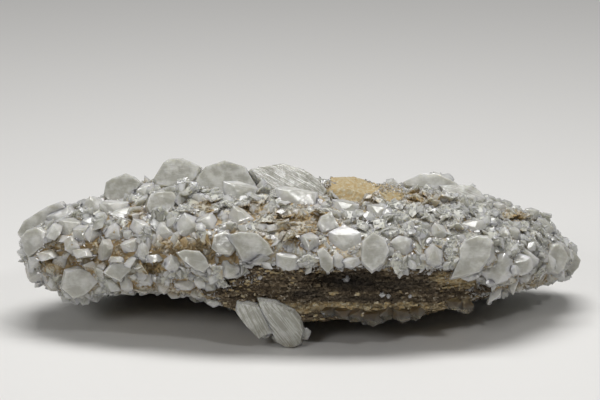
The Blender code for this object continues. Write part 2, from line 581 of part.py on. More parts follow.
def inside_outline(point, reach):
    """Whether a crystal here keeps inside the plate's outline in the front view."""
    table = np.array(OUTLINE)
    a, b = place_in_view(point)
    low = float(np.interp(a, table[:, 0], table[:, 1]))
    high = float(np.interp(a, table[:, 0], table[:, 2]))
    return low + reach < b < high - reach and abs(a) < 105.0 - reach


def medium_crystals(body, sheet, places):
    """Scatter crystals over the crusted faces that the large ones leave free."""
    random = np.random.default_rng(SEED)
    faces = [face for face in sheet.faces if crusted(face)]
    shares = [
        face.calc_area() * (MEDIUM_FRONT if face.normal.dot(TOWARD) > 0.1 else 1.0)
        for face in faces
    ]
    order = random.choice(len(faces), size=6000, p=np.array(shares) / sum(shares))
    made = 0
    for index in order:
        face = faces[int(index)]
        share = np.sort(random.random(2))
        corners = [vert.co / MM for vert in face.verts]
        point = (
            corners[0] * float(share[0])
            + corners[1] * float(share[1] - share[0])
            + corners[2] * float(1.0 - share[1])
        )
        length = float(random.uniform(*(BACK_LENGTH if face.normal.y > 0.1 else MEDIUM_LENGTH)))
        reach = (0.3 if point.y > BACK_START else 0.5) * length
        if not inside_outline(point, reach) or point.y > BACK_LIMIT - 0.3 * length:
            continue
        if any((point - other).length < MEDIUM_APART * 0.35 + room * 0.75 for other, room in places):
            continue
        lean = Vector(random.normal(0.0, 0.45, 3).tolist())
        broad = (face.normal + lean).normalized()
        along = broad.cross(Vector(random.normal(0.0, 1.0, 3).tolist())).normalized()
        axes = (along, broad.cross(along), broad)
        width = length * float(random.uniform(0.65, 0.95))
        thickness = length * float(random.uniform(0.42, 0.6))
        crystal(body, point + face.normal * 0.25, axes, length, width, thickness)
        places.append((point, 0.5 * length))
        made += 1
        if made == MEDIUM_COUNT:
            break
    return made


def crusted(face):
    """Whether the base sheet shows at this face, away from bare rock."""
    middle = face.calc_center_median() / MM
    a, b = place_in_view(middle)
    inside = -76.0 < middle.x < 84.0
    table = np.array(SECTIONS)
    back_edge = float(np.interp(middle.x, table[:, 0], table[:, 8]))
    if middle.z < 6.0 or inside and face.normal.z < -0.75:
        return False
    if face.normal.y < 0.2 and any(smooth_window(a, b, window) > 0.0 for window in WINDOWS):
        return False
    if inside and face.normal.y > 0.0 and middle.z < back_edge - 1.0:
        return False
    return band_share(middle.x) == 0.0 or face.normal.y > 0.0 or middle.z > 34.0


def mesh_object(name, body, mat):
    bmesh.ops.recalc_face_normals(body, faces=body.faces)
    mesh = bpy.data.meshes.new(name)
    body.to_mesh(mesh)
    body.free()
    obj = bpy.data.objects.new(name, mesh)
    obj.data.materials.append(mat)
    bpy.context.collection.objects.link(obj)
    return obj


def grown(source, distance):
    """A copy of a body with every face moved out by the distance."""
    body = source.copy()
    body.normal_update()
    moves = [vert.normal * distance * MM * vert.calc_shell_factor() for vert in body.verts]
    for vert, move in zip(body.verts, moves):
        vert.co += move
    return body


def combine(target, other, operation):
    """Apply a Boolean to the target and remove the other object."""
    boolean = target.modifiers.new(operation, "BOOLEAN")
    boolean.operation = operation
    boolean.solver = "EXACT"
    boolean.use_self = operation == "UNION"
    boolean.object = other
    graph = bpy.context.evaluated_depsgraph_get()
    mesh = bpy.data.meshes.new_from_object(target.evaluated_get(graph))
    target.modifiers.remove(boolean)
    target.data = mesh
    bpy.data.objects.remove(other, do_unlink=True)


def keep_clear(obj, other):
    """Cut an object back until it clears another one by the gap."""
    body = bmesh.new()
    body.from_mesh(other.data)
    wide = mesh_object("wide", grown(body, GAP), obj.data.materials[0])
    body.free()
    combine(obj, wide, "DIFFERENCE")


def simplify(obj, share):
    """Collapse the shortest and flattest edges until this share of the triangles is left."""
    decimate = obj.modifiers.new("simplify", "DECIMATE")
    decimate.ratio = share
    graph = bpy.context.evaluated_depsgraph_get()
    mesh = bpy.data.meshes.new_from_object(obj.evaluated_get(graph))
    obj.modifiers.remove(decimate)
    obj.data = mesh


def keep_largest(obj):
    """Drop the crumbs that a Boolean leaves beside the main body."""
    body = bmesh.new()
    body.from_mesh(obj.data)
    bmesh.ops.remove_doubles(body, verts=body.verts, dist=0.002 * MM)
    left = set(body.verts)
    largest = set()
    while left:
        seed = left.pop()
        island = {seed}
        front = [seed]
        while front:
            vert = front.pop()
            for edge in vert.link_edges:
                other = edge.other_vert(vert)
                if other not in island:
                    island.add(other)
                    front.append(other)
        left -= island
        if len(island) > len(largest):
            largest = island
    crumbs = [vert for vert in body.verts if vert not in largest]
    bmesh.ops.delete(body, geom=crumbs, context="VERTS")
    body.to_mesh(obj.data)
    body.free()


def hung_centre(a, b, y):
    return Vector((a, y, (b - UP.y * (y - BLADE_TIP.y)) / UP.z))


def cluster(name, rows, mat, rock):
    """Crystals grown together into one body that hangs in front of the rock."""
    parts = []
    for index, row in enumerate(rows):
        body = bmesh.new()
        if len(row) == 5:
            y, lean, swing, thickness, outline = row
            centre = hung_centre(*np.mean(outline, axis=0), y)
            broad_crystal(body, centre, outline, lean, swing, thickness, BLADE_SEED + index)
        else:
            a, b, y, length, width, turn, lean, swing, thickness = row
            axes = facing(turn, lean, swing)
            crystal(body, hung_centre(a, b, y), axes, length, width, thickness)
        parts.append(mesh_object(f"{name}_{index}", body, mat))
    whole = parts[0]
    whole.name = name
    for part in parts[1:]:
        combine(whole, part, "UNION")
    keep_clear(whole, rock)
    keep_largest(whole)
    return whole


def main():
    clear_scene()
    rock_mat = material("brown_bedded_rock", (0.16, 0.11, 0.06), 0.9)
    calcite_mat = material("pale_calcite", (0.74, 0.73, 0.68), 0.25, 0.3)
    blade_mat = material("grey_striated_calcite", (0.62, 0.61, 0.58), 0.3, 0.3)
    fringe_mat = material("grey_calcite", (0.42, 0.40, 0.35), 0.35, 0.3)

    rock = lump(True)
    sheet = lump(False)
    tree = BVHTree.FromBMesh(sheet)

    crystals = bmesh.new()
    places = large_crystals(crystals, tree)
    medium_crystals(crystals, sheet, places)
    host_rock = mesh_object("host_rock", rock, rock_mat)
    crust = mesh_object("calcite_crust", sheet, calcite_mat)
    combine(crust, mesh_object("crystals", crystals, calcite_mat), "UNION")
    keep_clear(crust, host_rock)
    for name, rows, mat in (
        ("hanging_blades", BLADES, blade_mat),
        ("fringe_left", FRINGE_LEFT, fringe_mat),
        ("fringe_right", FRINGE_RIGHT, fringe_mat),
    ):
        keep_clear(crust, cluster(name, rows, mat, host_rock))
    keep_largest(crust)
    simplify(crust, CRUST_DETAIL)


main()
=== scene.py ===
"""Rhombohedral calcite on its host rock: the detailed pieces and their finishes.

The tables are in millimetres and degrees, and a mesh is in metres. +X runs along the plate, -Y is its
front and +Z is up. Places on the front are given in the front view, which looks along +Y and 16 degrees
down: a is the distance to the right of the middle and b the distance up from the tip of the blades.
"""

import math

import bmesh
import bpy
import numpy as np
from bpy.props import FloatProperty, FloatVectorProperty, IntProperty, PointerProperty
from bpy.types import Operator, Panel, PropertyGroup
from mathutils import Matrix, Vector, noise
from mathutils.bvhtree import BVHTree


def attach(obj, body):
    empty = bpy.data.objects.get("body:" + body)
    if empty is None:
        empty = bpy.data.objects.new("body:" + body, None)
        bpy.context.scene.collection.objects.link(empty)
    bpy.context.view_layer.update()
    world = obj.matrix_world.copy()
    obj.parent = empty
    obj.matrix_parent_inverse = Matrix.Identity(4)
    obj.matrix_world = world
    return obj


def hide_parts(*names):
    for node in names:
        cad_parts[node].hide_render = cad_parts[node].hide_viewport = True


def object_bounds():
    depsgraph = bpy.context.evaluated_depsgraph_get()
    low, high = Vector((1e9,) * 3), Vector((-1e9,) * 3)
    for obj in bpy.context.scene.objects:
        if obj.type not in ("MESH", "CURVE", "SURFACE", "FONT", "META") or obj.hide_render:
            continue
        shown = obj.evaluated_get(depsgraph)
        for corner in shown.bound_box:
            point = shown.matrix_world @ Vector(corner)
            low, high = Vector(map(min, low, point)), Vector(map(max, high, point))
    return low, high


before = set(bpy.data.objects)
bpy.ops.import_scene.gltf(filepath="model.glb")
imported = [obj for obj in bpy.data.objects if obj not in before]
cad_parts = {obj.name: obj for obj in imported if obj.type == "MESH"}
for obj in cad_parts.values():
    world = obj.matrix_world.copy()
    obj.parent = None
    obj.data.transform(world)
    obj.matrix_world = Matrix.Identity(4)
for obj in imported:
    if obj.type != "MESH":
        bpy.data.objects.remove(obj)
CAD_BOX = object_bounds()

bl_info = {
    "name": "Calcite Plate",
    "version": (1, 0, 0),
    "blender": (4, 5, 0),
    "location": "3D View > Sidebar > Calcite Plate",
    "description": "Builds a plate of intergrown calcite rhombs on its host rock",
    "category": "Add Mesh",
}

MM = 0.001
SEED = 11

# The front view
VIEW_DOWN = math.radians(16.0)
RIGHT = Vector((1.0, 0.0, 0.0))
UP = Vector((0.0, math.sin(VIEW_DOWN), math.cos(VIEW_DOWN)))
TOWARD = Vector((0.0, -math.cos(VIEW_DOWN), math.sin(VIEW_DOWN)))
BLADE_TIP = Vector((0.0, -30.0, 0.0))

# Broad crystals on the front: lean back, swing to the right, thickness, how far the middle lies towards
# the viewer from the tip of the blades, and the outline in the front view as a, b.
BROAD = (
    (12, -18, 6.5, -19.6, ((-105, 40.5), (-102.5, 45), (-93, 51), (-88, 53), (-86, 50.5), (-91, 45),
        (-97.5, 42), (-102, 37))),
    (5, -20, 6, -9.7, ((-102.5, 39.5), (-100, 42.5), (-96, 43.5), (-92.5, 41.5), (-93, 36.5), (-99.5, 32),
        (-101.5, 34.5))),
    (-12, 5, 7, -1.4, ((-88, 21.5), (-86.5, 28), (-81.5, 29.5), (-75, 28), (-74, 24), (-78.5, 19.5),
        (-83.5, 17.5))),
    (15, -10, 7.5, -21.4, ((-73, 54), (-72, 59.5), (-69.5, 61), (-64, 63), (-61.5, 62), (-58.5, 59.5),
        (-60, 56), (-63, 52.5), (-69, 51))),
    (18, 0, 7.5, -22, ((-55, 60.5), (-51, 67), (-48.5, 68.5), (-43.5, 68.5), (-36.5, 65.5), (-38, 61),
        (-40.5, 58), (-47, 57), (-53.5, 58))),
    (16, 0, 8.5, -15.8, ((-39.5, 59), (-38, 62.5), (-35.5, 65.5), (-28, 68), (-20, 65.5), (-17.5, 61.5),
        (-14, 56), (-18.5, 53.5), (-25, 52.5), (-38, 55))),
    (20, 8, 6.5, -3.5, ((-57, 50.5), (-55.5, 55), (-52, 56), (-47, 56), (-45, 53.5), (-46.5, 50),
        (-51.5, 45), (-55, 46.5))),
    (26, 0, 8.5, -13.7, ((-19.5, 64), (-7, 66), (0, 64), (4, 62), (7.5, 59.5), (10.5, 56), (9, 53),
        (2, 51.5), (-6, 52.5), (-16.5, 60))),
    (24, 0, 6.5, -28, ((38, 59.5), (45, 62.5), (51.5, 62.5), (56, 60.5), (59.5, 58.5), (57, 56.5),
        (50.5, 56.5), (39, 58))),
    (25, 5, 6, -24.5, ((51.5, 58.5), (59.5, 58.5), (64, 58), (67, 56), (69.5, 53), (67.5, 50), (61.5, 50.5),
        (55, 53.5))),
    (4, 0, 6.5, 10, ((54.5, 24.5), (58, 32.5), (58, 36), (60, 39), (64, 40.5), (68.5, 40.5), (70.5, 38),
        (69.5, 33), (65.5, 27.5), (59.5, 25.5))),
    (8, 0, 6.5, 17.9, ((-27.5, 40.5), (-22, 42), (-15.5, 41.5), (-11.5, 38), (-9, 34), (-18, 30), (-21, 31),
        (-23, 35))),
    (5, 15, 6, -20.8, ((90, 31), (92, 34.5), (93, 37), (95.5, 37.5), (97.5, 36), (99.5, 32), (97.5, 27.5),
        (95.5, 25.5), (92, 27))),
    (0, 25, 5, -37.9, ((99, 34.5), (102, 35), (105, 31), (104, 28), (101.5, 25.5), (99, 28.5))),
    (5, 0, 5.5, 15.7, ((-45, 34.5), (-42, 35.5), (-36.5, 35), (-34, 32.5), (-32.5, 29), (-35, 27),
        (-38.5, 28.5), (-42.5, 31.5))),
    (8, 0, 5.5, 19.1, ((22.5, 38.5), (26.5, 42), (31, 39.5), (32.5, 35), (30.5, 30.5), (26, 27), (22, 31))),
    (2, -10, 5, 17.3, ((-31, 41), (-27, 42.5), (-24, 40.5), (-23, 36.5), (-25, 33.5), (-29.5, 34),
        (-32, 36))),
    (12, 12, 4.5, 11.2, ((7.5, 47.5), (11, 49), (14.5, 43), (7.5, 41), (6, 44))),
    (0, 0, 4.5, 20.2, ((6, 35), (8.5, 36.5), (12, 32.5), (12, 29), (10, 27), (7.5, 29.5))),
    (-3, 8, 5, 7.1, ((-72, 27), (-69, 30.5), (-62.5, 31), (-61.5, 28.5), (-66, 24), (-69.5, 25.5))),
    (-3, 5, 3.5, -7.1, ((77, 26), (80.5, 27), (80.5, 24), (78.5, 18.5), (77, 21))),
    (-3, 0, 3.5, -8.1, ((70.5, 21.5), (73.5, 23), (74.5, 20.5), (73.5, 18), (69, 15))),
)

# Large crystals on the front, in the front view: a, b, length, width, turn of the length
# anticlockwise, lean back, swing to the right, thickness, and how far the middle lies towards the viewer.
LARGE = (
    (-92.5, 33.5, 9, 5.5, 15, 50, 0, 4, -2.5),
    (-98.5, 27, 10, 8.5, -50, -15, -35, 5, -16.7),
    (-91, 24, 10, 8, -30, -22, -10, 5, -9.7),
    (-88, 47.5, 13, 9.5, 20, 32, -10, 5, -15.5),
    (-76.5, 50.5, 10, 9, 60, 15, 0, 5, -12.5),
    (-84.5, 43.5, 11, 8, -20, 28, 0, 4.5, -5.6),
    (-80, 41.5, 7, 6, 0, 18, 10, 4, 0.7),
    (-76, 41, 7, 5, 70, 10, 20, 3.5, 3),
    (-83.5, 37, 7, 5.5, -70, 10, 0, 4, 1.8),
    (-79, 34, 9, 5.5, 0, 62, 0, 4.5, 4.3),
    (-71, 35.5, 9, 5, 80, 5, 0, 3.5, 6.7),
    (-68, 41.5, 7.5, 6.5, -80, 15, 0, 4, 4.2),
    (-66.8, 31.8, 6, 3, -10, 55, 0, 3, 9.3),
    (-63.5, 23, 7.5, 4.5, -75, -15, 0, 3.5, 4.5),
    (-68, 50.5, 12.5, 7.5, -10, 30, 0, 5, -9.9),
    (-22, 56.5, 15, 9, -22, 30, 5, 6, -5.6),
    (-57.5, 56.5, 11, 7.5, 10, 28, 0, 5, -18.2),
    (-44, 53.5, 5.5, 4, 75, 12, 40, 3, -2.1),
    (-65, 48.5, 9.5, 5.5, 15, 40, 0, 4, -4.9),
    (-40.7, 44, 10.5, 8.5, -60, 20, 5, 5, 10.5),
    (-16.5, 32, 12, 4, 8, -28, 0, 4, 20.1),
    (-21.5, 47, 11, 7.5, -50, 28, 10, 5, 8.2),
    (-46.5, 30.5, 7, 5.5, -70, 5, 0, 3.5, 14),
    (-53, 32.5, 6.5, 4, 0, 45, 0, 3, 12),
    (-25.5, 28.5, 8, 6.5, -40, 0, 0, 4.5, 16.8),
    (-62, 37, 7.5, 5, 10, 20, 0, 3.5, 8.1),
    (-57, 34.5, 8, 3.8, -80, 0, 0, 3, 11),
    (-12.2, 29.8, 5.5, 4.2, -90, -5, 0, 3, 15.6),
    (-58.5, 43.5, 8.5, 6, -40, 28, 0, 4, 5.3),
    (-49.5, 42, 8, 6, -60, 25, 0, 4, 8.8),
    (-34, 45.5, 9, 7, 20, 32, 0, 4.5, 9.4),
    (-1, 54.5, 19, 9, -18, 34, 0, 6, -2.7),
    (-4.5, 31.5, 10, 6.5, -20, 10, 0, 4, 19.6),
    (3.5, 38.5, 7.5, 6.5, -20, 15, 0, 4, 18.2),
    (14, 31.5, 7, 3.6, -70, 0, 0, 3, 19.9),
    (16.5, 38.5, 14, 11.5, -15, 18, 0, 5, 15.4),
    (37, 37, 9.5, 7, 0, 15, 0, 4, 15.9),
    (18.5, 31, 7.5, 3.5, 5, 10, 0, 3, 20.1),
    (16.5, 50.5, 12, 8, -25, 35, 0, 5, -1.9),
    (28.5, 49.5, 9, 6, -20, 35, 0, 4, -1.1),
    (68.5, 52.5, 8, 5.5, -30, 25, 0, 4, -23.6),
    (74, 51, 5.5, 4, -20, 20, 0, 3, -23.7),
    (63, 44, 12, 5.5, 5, 38, 0, 4, -0.6),
    (75, 40, 8, 4, 90, 10, 0, 3, -2.3),
    (78.8, 41, 6.5, 4.5, 90, 15, 0, 3, -7),
    (72.5, 28.5, 13.5, 10.5, 30, 0, 5, 5, 3.8),
    (81, 30, 10.5, 7.5, -10, 0, 12, 4.5, -0.9),
    (48.5, 33, 9, 6.5, -75, 5, 0, 4, 15),
    (50.5, 42, 7.5, 5.5, -60, 25, 0, 4, 8),
    (39.7, 43.7, 5.5, 4.5, 30, 20, 0, 3, 8.5),
    (84, 32.5, 10, 4.5, -40, 10, 15, 3.5, -4.1),
    (92, 30, 7, 5, -80, 0, -20, 4, -13.7),
    (93.5, 26, 7.5, 5, -30, -25, 10, 4, -22.9),
    (91.7, 43.5, 9.5, 5.5, -45, 20, 20, 4, -30.2),
    (87, 48.5, 6.5, 4.5, -20, 25, 10, 3.5, -31.2),
    (97.3, 36, 6, 4, -40, 15, 20, 3, -29.6),
    (74.9, 20.3, 6, 3, -75, 0, 0, 2.6, -9.7),
    (82.8, 25.3, 6, 3.6, 20, 0, 10, 3, -8.2),
    (-41.5, 22.8, 9, 4, 5, 10, 0, 3, 10.2),
    (-32.5, 22.5, 6, 4, 10, 10, 0, 3, 10.5),
    (-56, 24.5, 6, 4, 20, 5, 0, 3, 7.6),
    (-31.2, 17.3, 6.5, 5.5, -80, -5, 0, 3.5, 7),
    (-26.2, 14.5, 6, 3.2, -80, -5, 0, 3, -37.3),
)

# The pair of blades that hangs under the front edge: y of the middle, lean back, swing to the right,
# thickness, and the outline in the front view.
BLADES = (
    (-33.6, -26, 4, 4.4, ((-23, 17), (-18.5, 16.5), (-15, 15.5), (-12, 11.5), (-9.5, 5), (-13, 4.5),
        (-15, 3), (-20.5, 9), (-23.5, 13))),
    (-33.2, -28, -4, 5.2, ((-15.5, 18), (-9, 17), (-2, 13.5), (0.5, 10.5), (1.5, 6), (0.5, 1.5), (-2, 0),
        (-5, 0), (-8.5, 2), (-14.5, 14))),
)

# The fringes of small crystals right of the blades: a, b of the middle and y, then length, width,
# turn, lean back, swing to the right and thickness.
FRINGE_LEFT = (
    (10.5, 12.8, -34.2, 6.5, 3.6, 8, 4, 0, 3.5),
    (15.5, 12.3, -34.2, 8.5, 4.5, -12, 4, 0, 4),
    (20.5, 11.6, -34.2, 8, 5.5, 14, -8, 0, 4.5),
    (26.3, 10.8, -34.2, 9.5, 6, -5, 5, 0, 5),
    (31.2, 12, -33.7, 7.5, 5, 30, -6, 0, 4.5),
    (36.8, 11.9, -33.2, 8.5, 5.5, -20, 6, 0, 4.5),
    (42, 12.4, -32.4, 8, 5, 18, -4, 8, 4.5),
)
FRINGE_RIGHT = (
    (56.8, 15.4, -29.4, 7.5, 4.6, -12, 6, 5, 4.4),
    (60.8, 14.8, -28.6, 6.5, 5.4, -40, -6, 8, 4.6),
)

# Shape of one crystal, as the solids have it: the share of its height where the apex is cut flat. A broad
# crystal's rim closes in by a taper, its apex stands at a share of its thickness from the middle, and its
# low faces have a slope.
APEX_CUT = 0.62
RIM_TAPER = 0.9
APEX_HEIGHT = 0.52
FACE_SLOPE = (0.08, 0.15)
BLADE_SEED = 40

# How far a detailed crystal stands proud of its solid, so that it covers it, and how far the crust
# sinks under the large crystals' chipped corners and from how near
PROUD = 0.2
SINK = 0.45
SINK_REACH = 1.2

# Longest edge that the bed under the scattered crystals keeps, and edge lengths down to which the bare
# rock is divided step by step
BED_EDGE = 2.6
ROCK_EDGES = (6.0, 3.0, 1.7, 1.05)

# Room left inside the sides of the solids' box
BOX_ROOM = 0.02

# How far a ray looks from the crust's inner side for the rock, and from the rock for the crust over it
GAP_REACH = 1.2
COVER_REACH = 9.0

# Height up to which the rock keeps its solid's surface, so that it rests as the solid does
REST_HEIGHT = 1.5

# Where the back of the plate begins, with finer and sparser crystals
BACK_START = 8.0

# The two kinds of scattered crystals: places tried, room that each keeps free as a share of its length,
# lean of the broad faces and how much of a stain they take up
SCATTER = {
    "medium_crystals": (16000, 0.30, 0.6, 0.2),
    "druse": (80000, 0.26, 0.8, 0.7),
}

# Striated crystals: index in BROAD, then turn of the striations and their strength
RIDGED = {7: (-32.0, 1.0), 9: (-24.0, 0.8)}

# Turn of each blade's striations, and their strength
BLADE_LINES = ((-64.0, 1.0), (-57.0, 1.0))

# Ochre and brown stains between the crystals: a, b, half-width, half-height, strength
STAINS = (
    (-87.5, 33, 8, 7.5, 1),
    (-90, 29, 6.5, 3.5, 1),
    (-75, 33, 6.5, 8, 1),
    (-65.5, 35, 5, 5, 1),
    (-60.5, 49, 4.5, 5, 0.8),
    (-43, 36.5, 15, 4.5, 1),
    (-54, 28.5, 7, 3.5, 1),
    (-27, 32.5, 8, 3, 1),
    (-35.5, 51.5, 5.5, 3.5, 0.9),
    (-16, 50.5, 6.5, 5, 0.6),
    (-4, 44.5, 13, 10, 0.7),
    (24, 57, 17, 6.5, 0.8),
    (44, 54.5, 12, 3.5, 0.7),
    (80, 48.5, 7, 3.5, 0.8),
    (-95, 25, 6, 4, 0.6),
    (-50, 20.5, 24, 4.5, 0.8),
    (86, 22.5, 14, 4, 0.8),
    (98, 27, 7, 3, 0.6),
)

# Painted shade in the rock's slot, nearly black in its colour: a, b, half-width, half-height, share
PAINTED_SHADE_PATCHES = (
    (19, 24, 15, 4.4, 1),
    (36, 22.8, 16, 3.2, 0.8),
    (2.5, 19.5, 8, 3, 0.8),
    (22, 17.5, 22, 1.6, 0.6),
)

# Single pale crystals on the bare rock, in the front view: a, b, length, width, turn
ROCK_CRYSTALS = (
    (16.8, 24.8, 3.2, 2.6, 20),
    (8.7, 12.7, 2.4, 1.8, -20),
    (30.2, 19.2, 3, 2, 30),
    (32.4, 18.4, 2.2, 1.6, -50),
    (40.2, 18.4, 1.8, 1.4, 10),
    (-14.5, 25.5, 2.2, 1.6, 60),
    (47, 27, 2, 1.6, 35),
)

# Ochre and tan parts of the rock: a, b, half-width, half-height, share of ochre
TAN_ROCK = (
    (22, 58.5, 22, 9, 1.6),
    (-4, 44, 13, 10, 0.8),
    (82, 47.5, 8, 5, 0.8),
    (-60, 24, 22, 7, 0.8),
    (20, 14.5, 50, 3.5, 0.5),
    (57, 24.5, 12, 4, 0.8),
)

# The bare top of the ochre knob on the ridge: x, y of its middle and its half-width and half-depth, then
# the height above which all bare rock belongs to it
KNOB = (20.5, 0.5, 12.5, 9.5)
KNOB_FOOT = 35.0

# The rock's beds: their height, the share of it that a parting takes, the size of the blocks between the
# cracks and the share of a block that a crack takes
BED_HEIGHT = 1.7
PARTING = 0.16
BLOCK = 2.4
CRACK = 0.22

# The calcite finishes: share of the light let through, milkiness, height of the streaks and roughness
FINISHES = {
    "pale_calcite": (0.42, 0.72, 0.25, 0.03),
    "crust_calcite": (0.0, 0.25, 0.3, 0.25),
    "streaked_calcite": (0.30, 0.45, 0.4, 0.08),
    # a darker copy of the calcite: painted shade for the crystals under the front edge
    "grey_calcite": (0.93, -0.3, 0.4, 0.08),
}

# Pale grains in the rock, and the nearly black colour of the painted shade in its slot
PALE_GRAIN = (0.50, 0.46, 0.38)
SLOT_SHADE = (0.012, 0.010, 0.008)

# The camera: its distance and the width that it sees there, in metres, then how far up the view its
# middle lies and the width of its sensor, in millimetres
VIEW_DISTANCE = 1.5
VIEW_WIDTH = 0.2202
VIEW_MIDDLE = 53.58
SENSOR_WIDTH = 36.0

# The lights, in metres and watts: name, place, size and power. They aim at the middle of the plate.
LIGHTS = (
    ("overhead", (0.0, 0.05, 0.75), (0.6, 0.3), 5.6),
    ("front", (-0.5, -0.9, 0.55), (0.25, 0.25), 2.8),
    ("glint", (0.45, -0.55, 0.65), (0.08, 0.08), 1.2),
)
LIGHT_AIM = (0.0, 0.0, 0.03)
SKY_STRENGTH = 0.13


def count_property(name, description, default):
    """A number of crystals that a user may change."""
    return IntProperty(name=name, description=description, default=default, min=0)


def length_property(name, description, default):
    """A length, given in millimetres, that a user may change."""
    return FloatProperty(name=name, description=description, default=default * MM, unit="LENGTH")


def colour_property(name, description, default):
    """A colour that a user may change."""
    return FloatVectorProperty(name=name, description=description, default=default, subtype="COLOR")


class CrystalSizes(PropertyGroup):
    """How large and how many the crystals of the crust are."""

    medium_count: count_property("Medium crystals", "Most crystals between the large ones", 1500)
    medium_length: length_property("Medium length", "Length of the longest medium crystals", 9.0)
    druse_count: count_property("Druse crystals", "Most crystals of the fine druse", 9000)
    druse_length: length_property("Druse length", "Length of the longest druse crystals", 3.0)
    grain_count: count_property("Rock grains", "Most loose-looking grains on the bare rock", 5200)
    edge: length_property("Edge bevel", "Width of a broad crystal's edges", 0.16)


class PlateColours(PropertyGroup):
    """The colours of the calcite, its host rock and the floor."""

    clear: colour_property("Clear calcite", "Body of a clear crystal", (0.45, 0.445, 0.385))
    # milky colour of the veils, and also of the painted highlight on the rims
    milky_and_rim_highlight: colour_property("Milky calcite", "Veils and rims", (0.89, 0.89, 0.855))
    ochre: colour_property("Ochre stain", "Stain between crystals", (0.36, 0.255, 0.115))
    brown: colour_property("Brown stain", "Stain in the deepest gaps", (0.085, 0.055, 0.024))
    rock: colour_property("Dark rock", "Body of the bedded rock", (0.055, 0.038, 0.022))
    rock_light: colour_property("Brown rock", "Lighter beds of the rock", (0.19, 0.145, 0.09))
    rock_tan: colour_property("Tan rock", "Granular tan rock", (0.42, 0.365, 0.24))
    floor: colour_property("Floor", "Colour of the plain floor", (0.74, 0.73, 0.71))


class Shade:
    """A node's output in an expression, which adds the Math nodes it needs."""

    def __init__(self, finish, socket):
        self.finish = finish
        self.socket = socket

    def math(self, operation, first, second):
        return self.finish.node("ShaderNodeMath", {"operation": operation}, {0: first, 1: second})

    def __add__(self, other):
        return self.math("ADD", self, other)

    def __mul__(self, other):
        return self.math("MULTIPLY", self, other)

    def __sub__(self, other):
        return self.math("SUBTRACT", self, other)

    def __rsub__(self, other):
        return self.math("SUBTRACT", other, self)

    def __pow__(self, other):
        return self.math("POWER", self, other)

    __radd__ = __add__
    __rmul__ = __mul__


class Finish:
    """One material, built round its Principled shader."""

    def __init__(self, name):
        self.material = bpy.data.materials.new(name)
        self.material.use_nodes = True
        self.tree = self.material.node_tree
        self.shader = self.tree.nodes["Principled BSDF"]

    def node(self, kind, settings=None, sockets=None, output=0):
        made = self.tree.nodes.new(kind)
        for name, value in (settings or {}).items():
            setattr(made, name, value)
        for name, value in (sockets or {}).items():
            self.feed(made.inputs[name], value)
        return Shade(self, made.outputs[output])

    def feed(self, socket, value):
        if isinstance(value, Shade):
            self.tree.links.new(value.socket, socket)
        else:
            socket.default_value = value

    def set(self, **values):
        """Set the shader's sockets, named with underscores for spaces."""
        for name, value in values.items():
            self.feed(self.shader.inputs[name.replace("_", " ")], value)

    def attribute(self, name, output="Fac"):
        return self.node("ShaderNodeAttribute", {"attribute_name": name}, output=output)

    def place(self):
        return self.node("ShaderNodeTexCoord", output="Object")

    def stretched(self, vector, scale):
        return self.node("ShaderNodeMapping", {}, {"Vector": vector, "Scale": scale})

    def noise(self, vector, scale, detail=2.0, rough=0.5):
        sockets = {"Vector": vector, "Scale": scale, "Detail": detail, "Roughness": rough}
        return self.node("ShaderNodeTexNoise", {}, sockets)

    def ease(self, value, low, high):
        """0 below low, 1 above high and a smooth rise between them."""
        settings = {"interpolation_type": "SMOOTHSTEP"}
        return self.node("ShaderNodeMapRange", settings, {"Value": value, "From Min": low, "From Max": high})

    def limit(self, value):
        return self.node("ShaderNodeClamp", {}, {"Value": value})

    def blend(self, share, first, second):
        sockets = {0: share, 6: opaque(first), 7: opaque(second)}
        return self.node("ShaderNodeMix", {"data_type": "RGBA"}, sockets, output=2)

    def relief(self, height, strength, distance):
        sockets = {"Height": height, "Strength": strength, "Distance": distance}
        return self.node("ShaderNodeBump", {}, sockets)


def opaque(colour):
    """A colour as a socket takes it, or the link that it already is."""
    return colour if isinstance(colour, Shade) else (*colour, 1.0)


def calcite_finish(name, colours):
    """Translucent calcite: clear body, milky veils, rims whitened as a painted highlight, streaked faces and
    stained roots.
    """
    transmission, milk, streaks, roughness = FINISHES[name]
    finish = Finish(name)
    grain = finish.attribute("grain", "Vector")
    rim = finish.attribute("rim")
    tint = finish.attribute("tint")
    stain = finish.attribute("stain")
    ridge = finish.attribute("ridge")
    lines = finish.noise(finish.stretched(grain, (0.06, 2.2, 2.2)), 1.0, 3.0, 0.6)

    veil = finish.ease(finish.noise(grain, 0.17, 4.0, 0.6), 0.40, 0.64)
    wisps = finish.ease(finish.noise(finish.stretched(grain, (0.3, 2.2, 1.4)), 1.0, 3.0, 0.6), 0.54, 0.70)
    blotch = finish.noise(grain, 0.55, 4.0, 0.65)
    # rim**3 whitens each crystal towards its rim: a painted highlight where edges catch the light
    milky_and_rim_highlight = veil * 0.55 + wisps * 0.25 + rim**3 * 0.60 + tint * 0.45 + (milk - 0.70)
    milky_and_rim_highlight = milky_and_rim_highlight + (blotch - 0.5) * 0.40 + (finish.ease(lines, 0.38, 0.62) - 0.5) * ridge * 0.75
    body = finish.blend(finish.limit(milky_and_rim_highlight), colours.clear, colours.milky_and_rim_highlight)
    patchy = finish.limit(stain * 1.35 + (blotch - 0.5) * stain * 1.8)
    warm = finish.blend(finish.ease(patchy, 0.05, 0.75), body, colours.ochre)
    finish.set(Base_Color=finish.blend(finish.ease(patchy, 0.85, 1.4), warm, colours.brown))

    frost = finish.noise(grain, 2.2, 3.0, 0.6)
    swell = finish.noise(grain, 0.35, 1.0, 0.5)
    height = lines * (ridge * 2.5 + streaks) + frost * 0.16 + swell * 1.8
    finish.set(Normal=finish.relief(height, 0.45, 0.25 * MM))
    finish.set(Roughness=finish.limit(frost * 0.14 + patchy * 0.4 + roughness))
    finish.set(IOR=1.6, Transmission_Weight=transmission, Subsurface_Weight=1.0, Subsurface_Scale=2.5 * MM)
    finish.set(Subsurface_Radius=(1.0, 1.0, 0.9))
    return finish.material


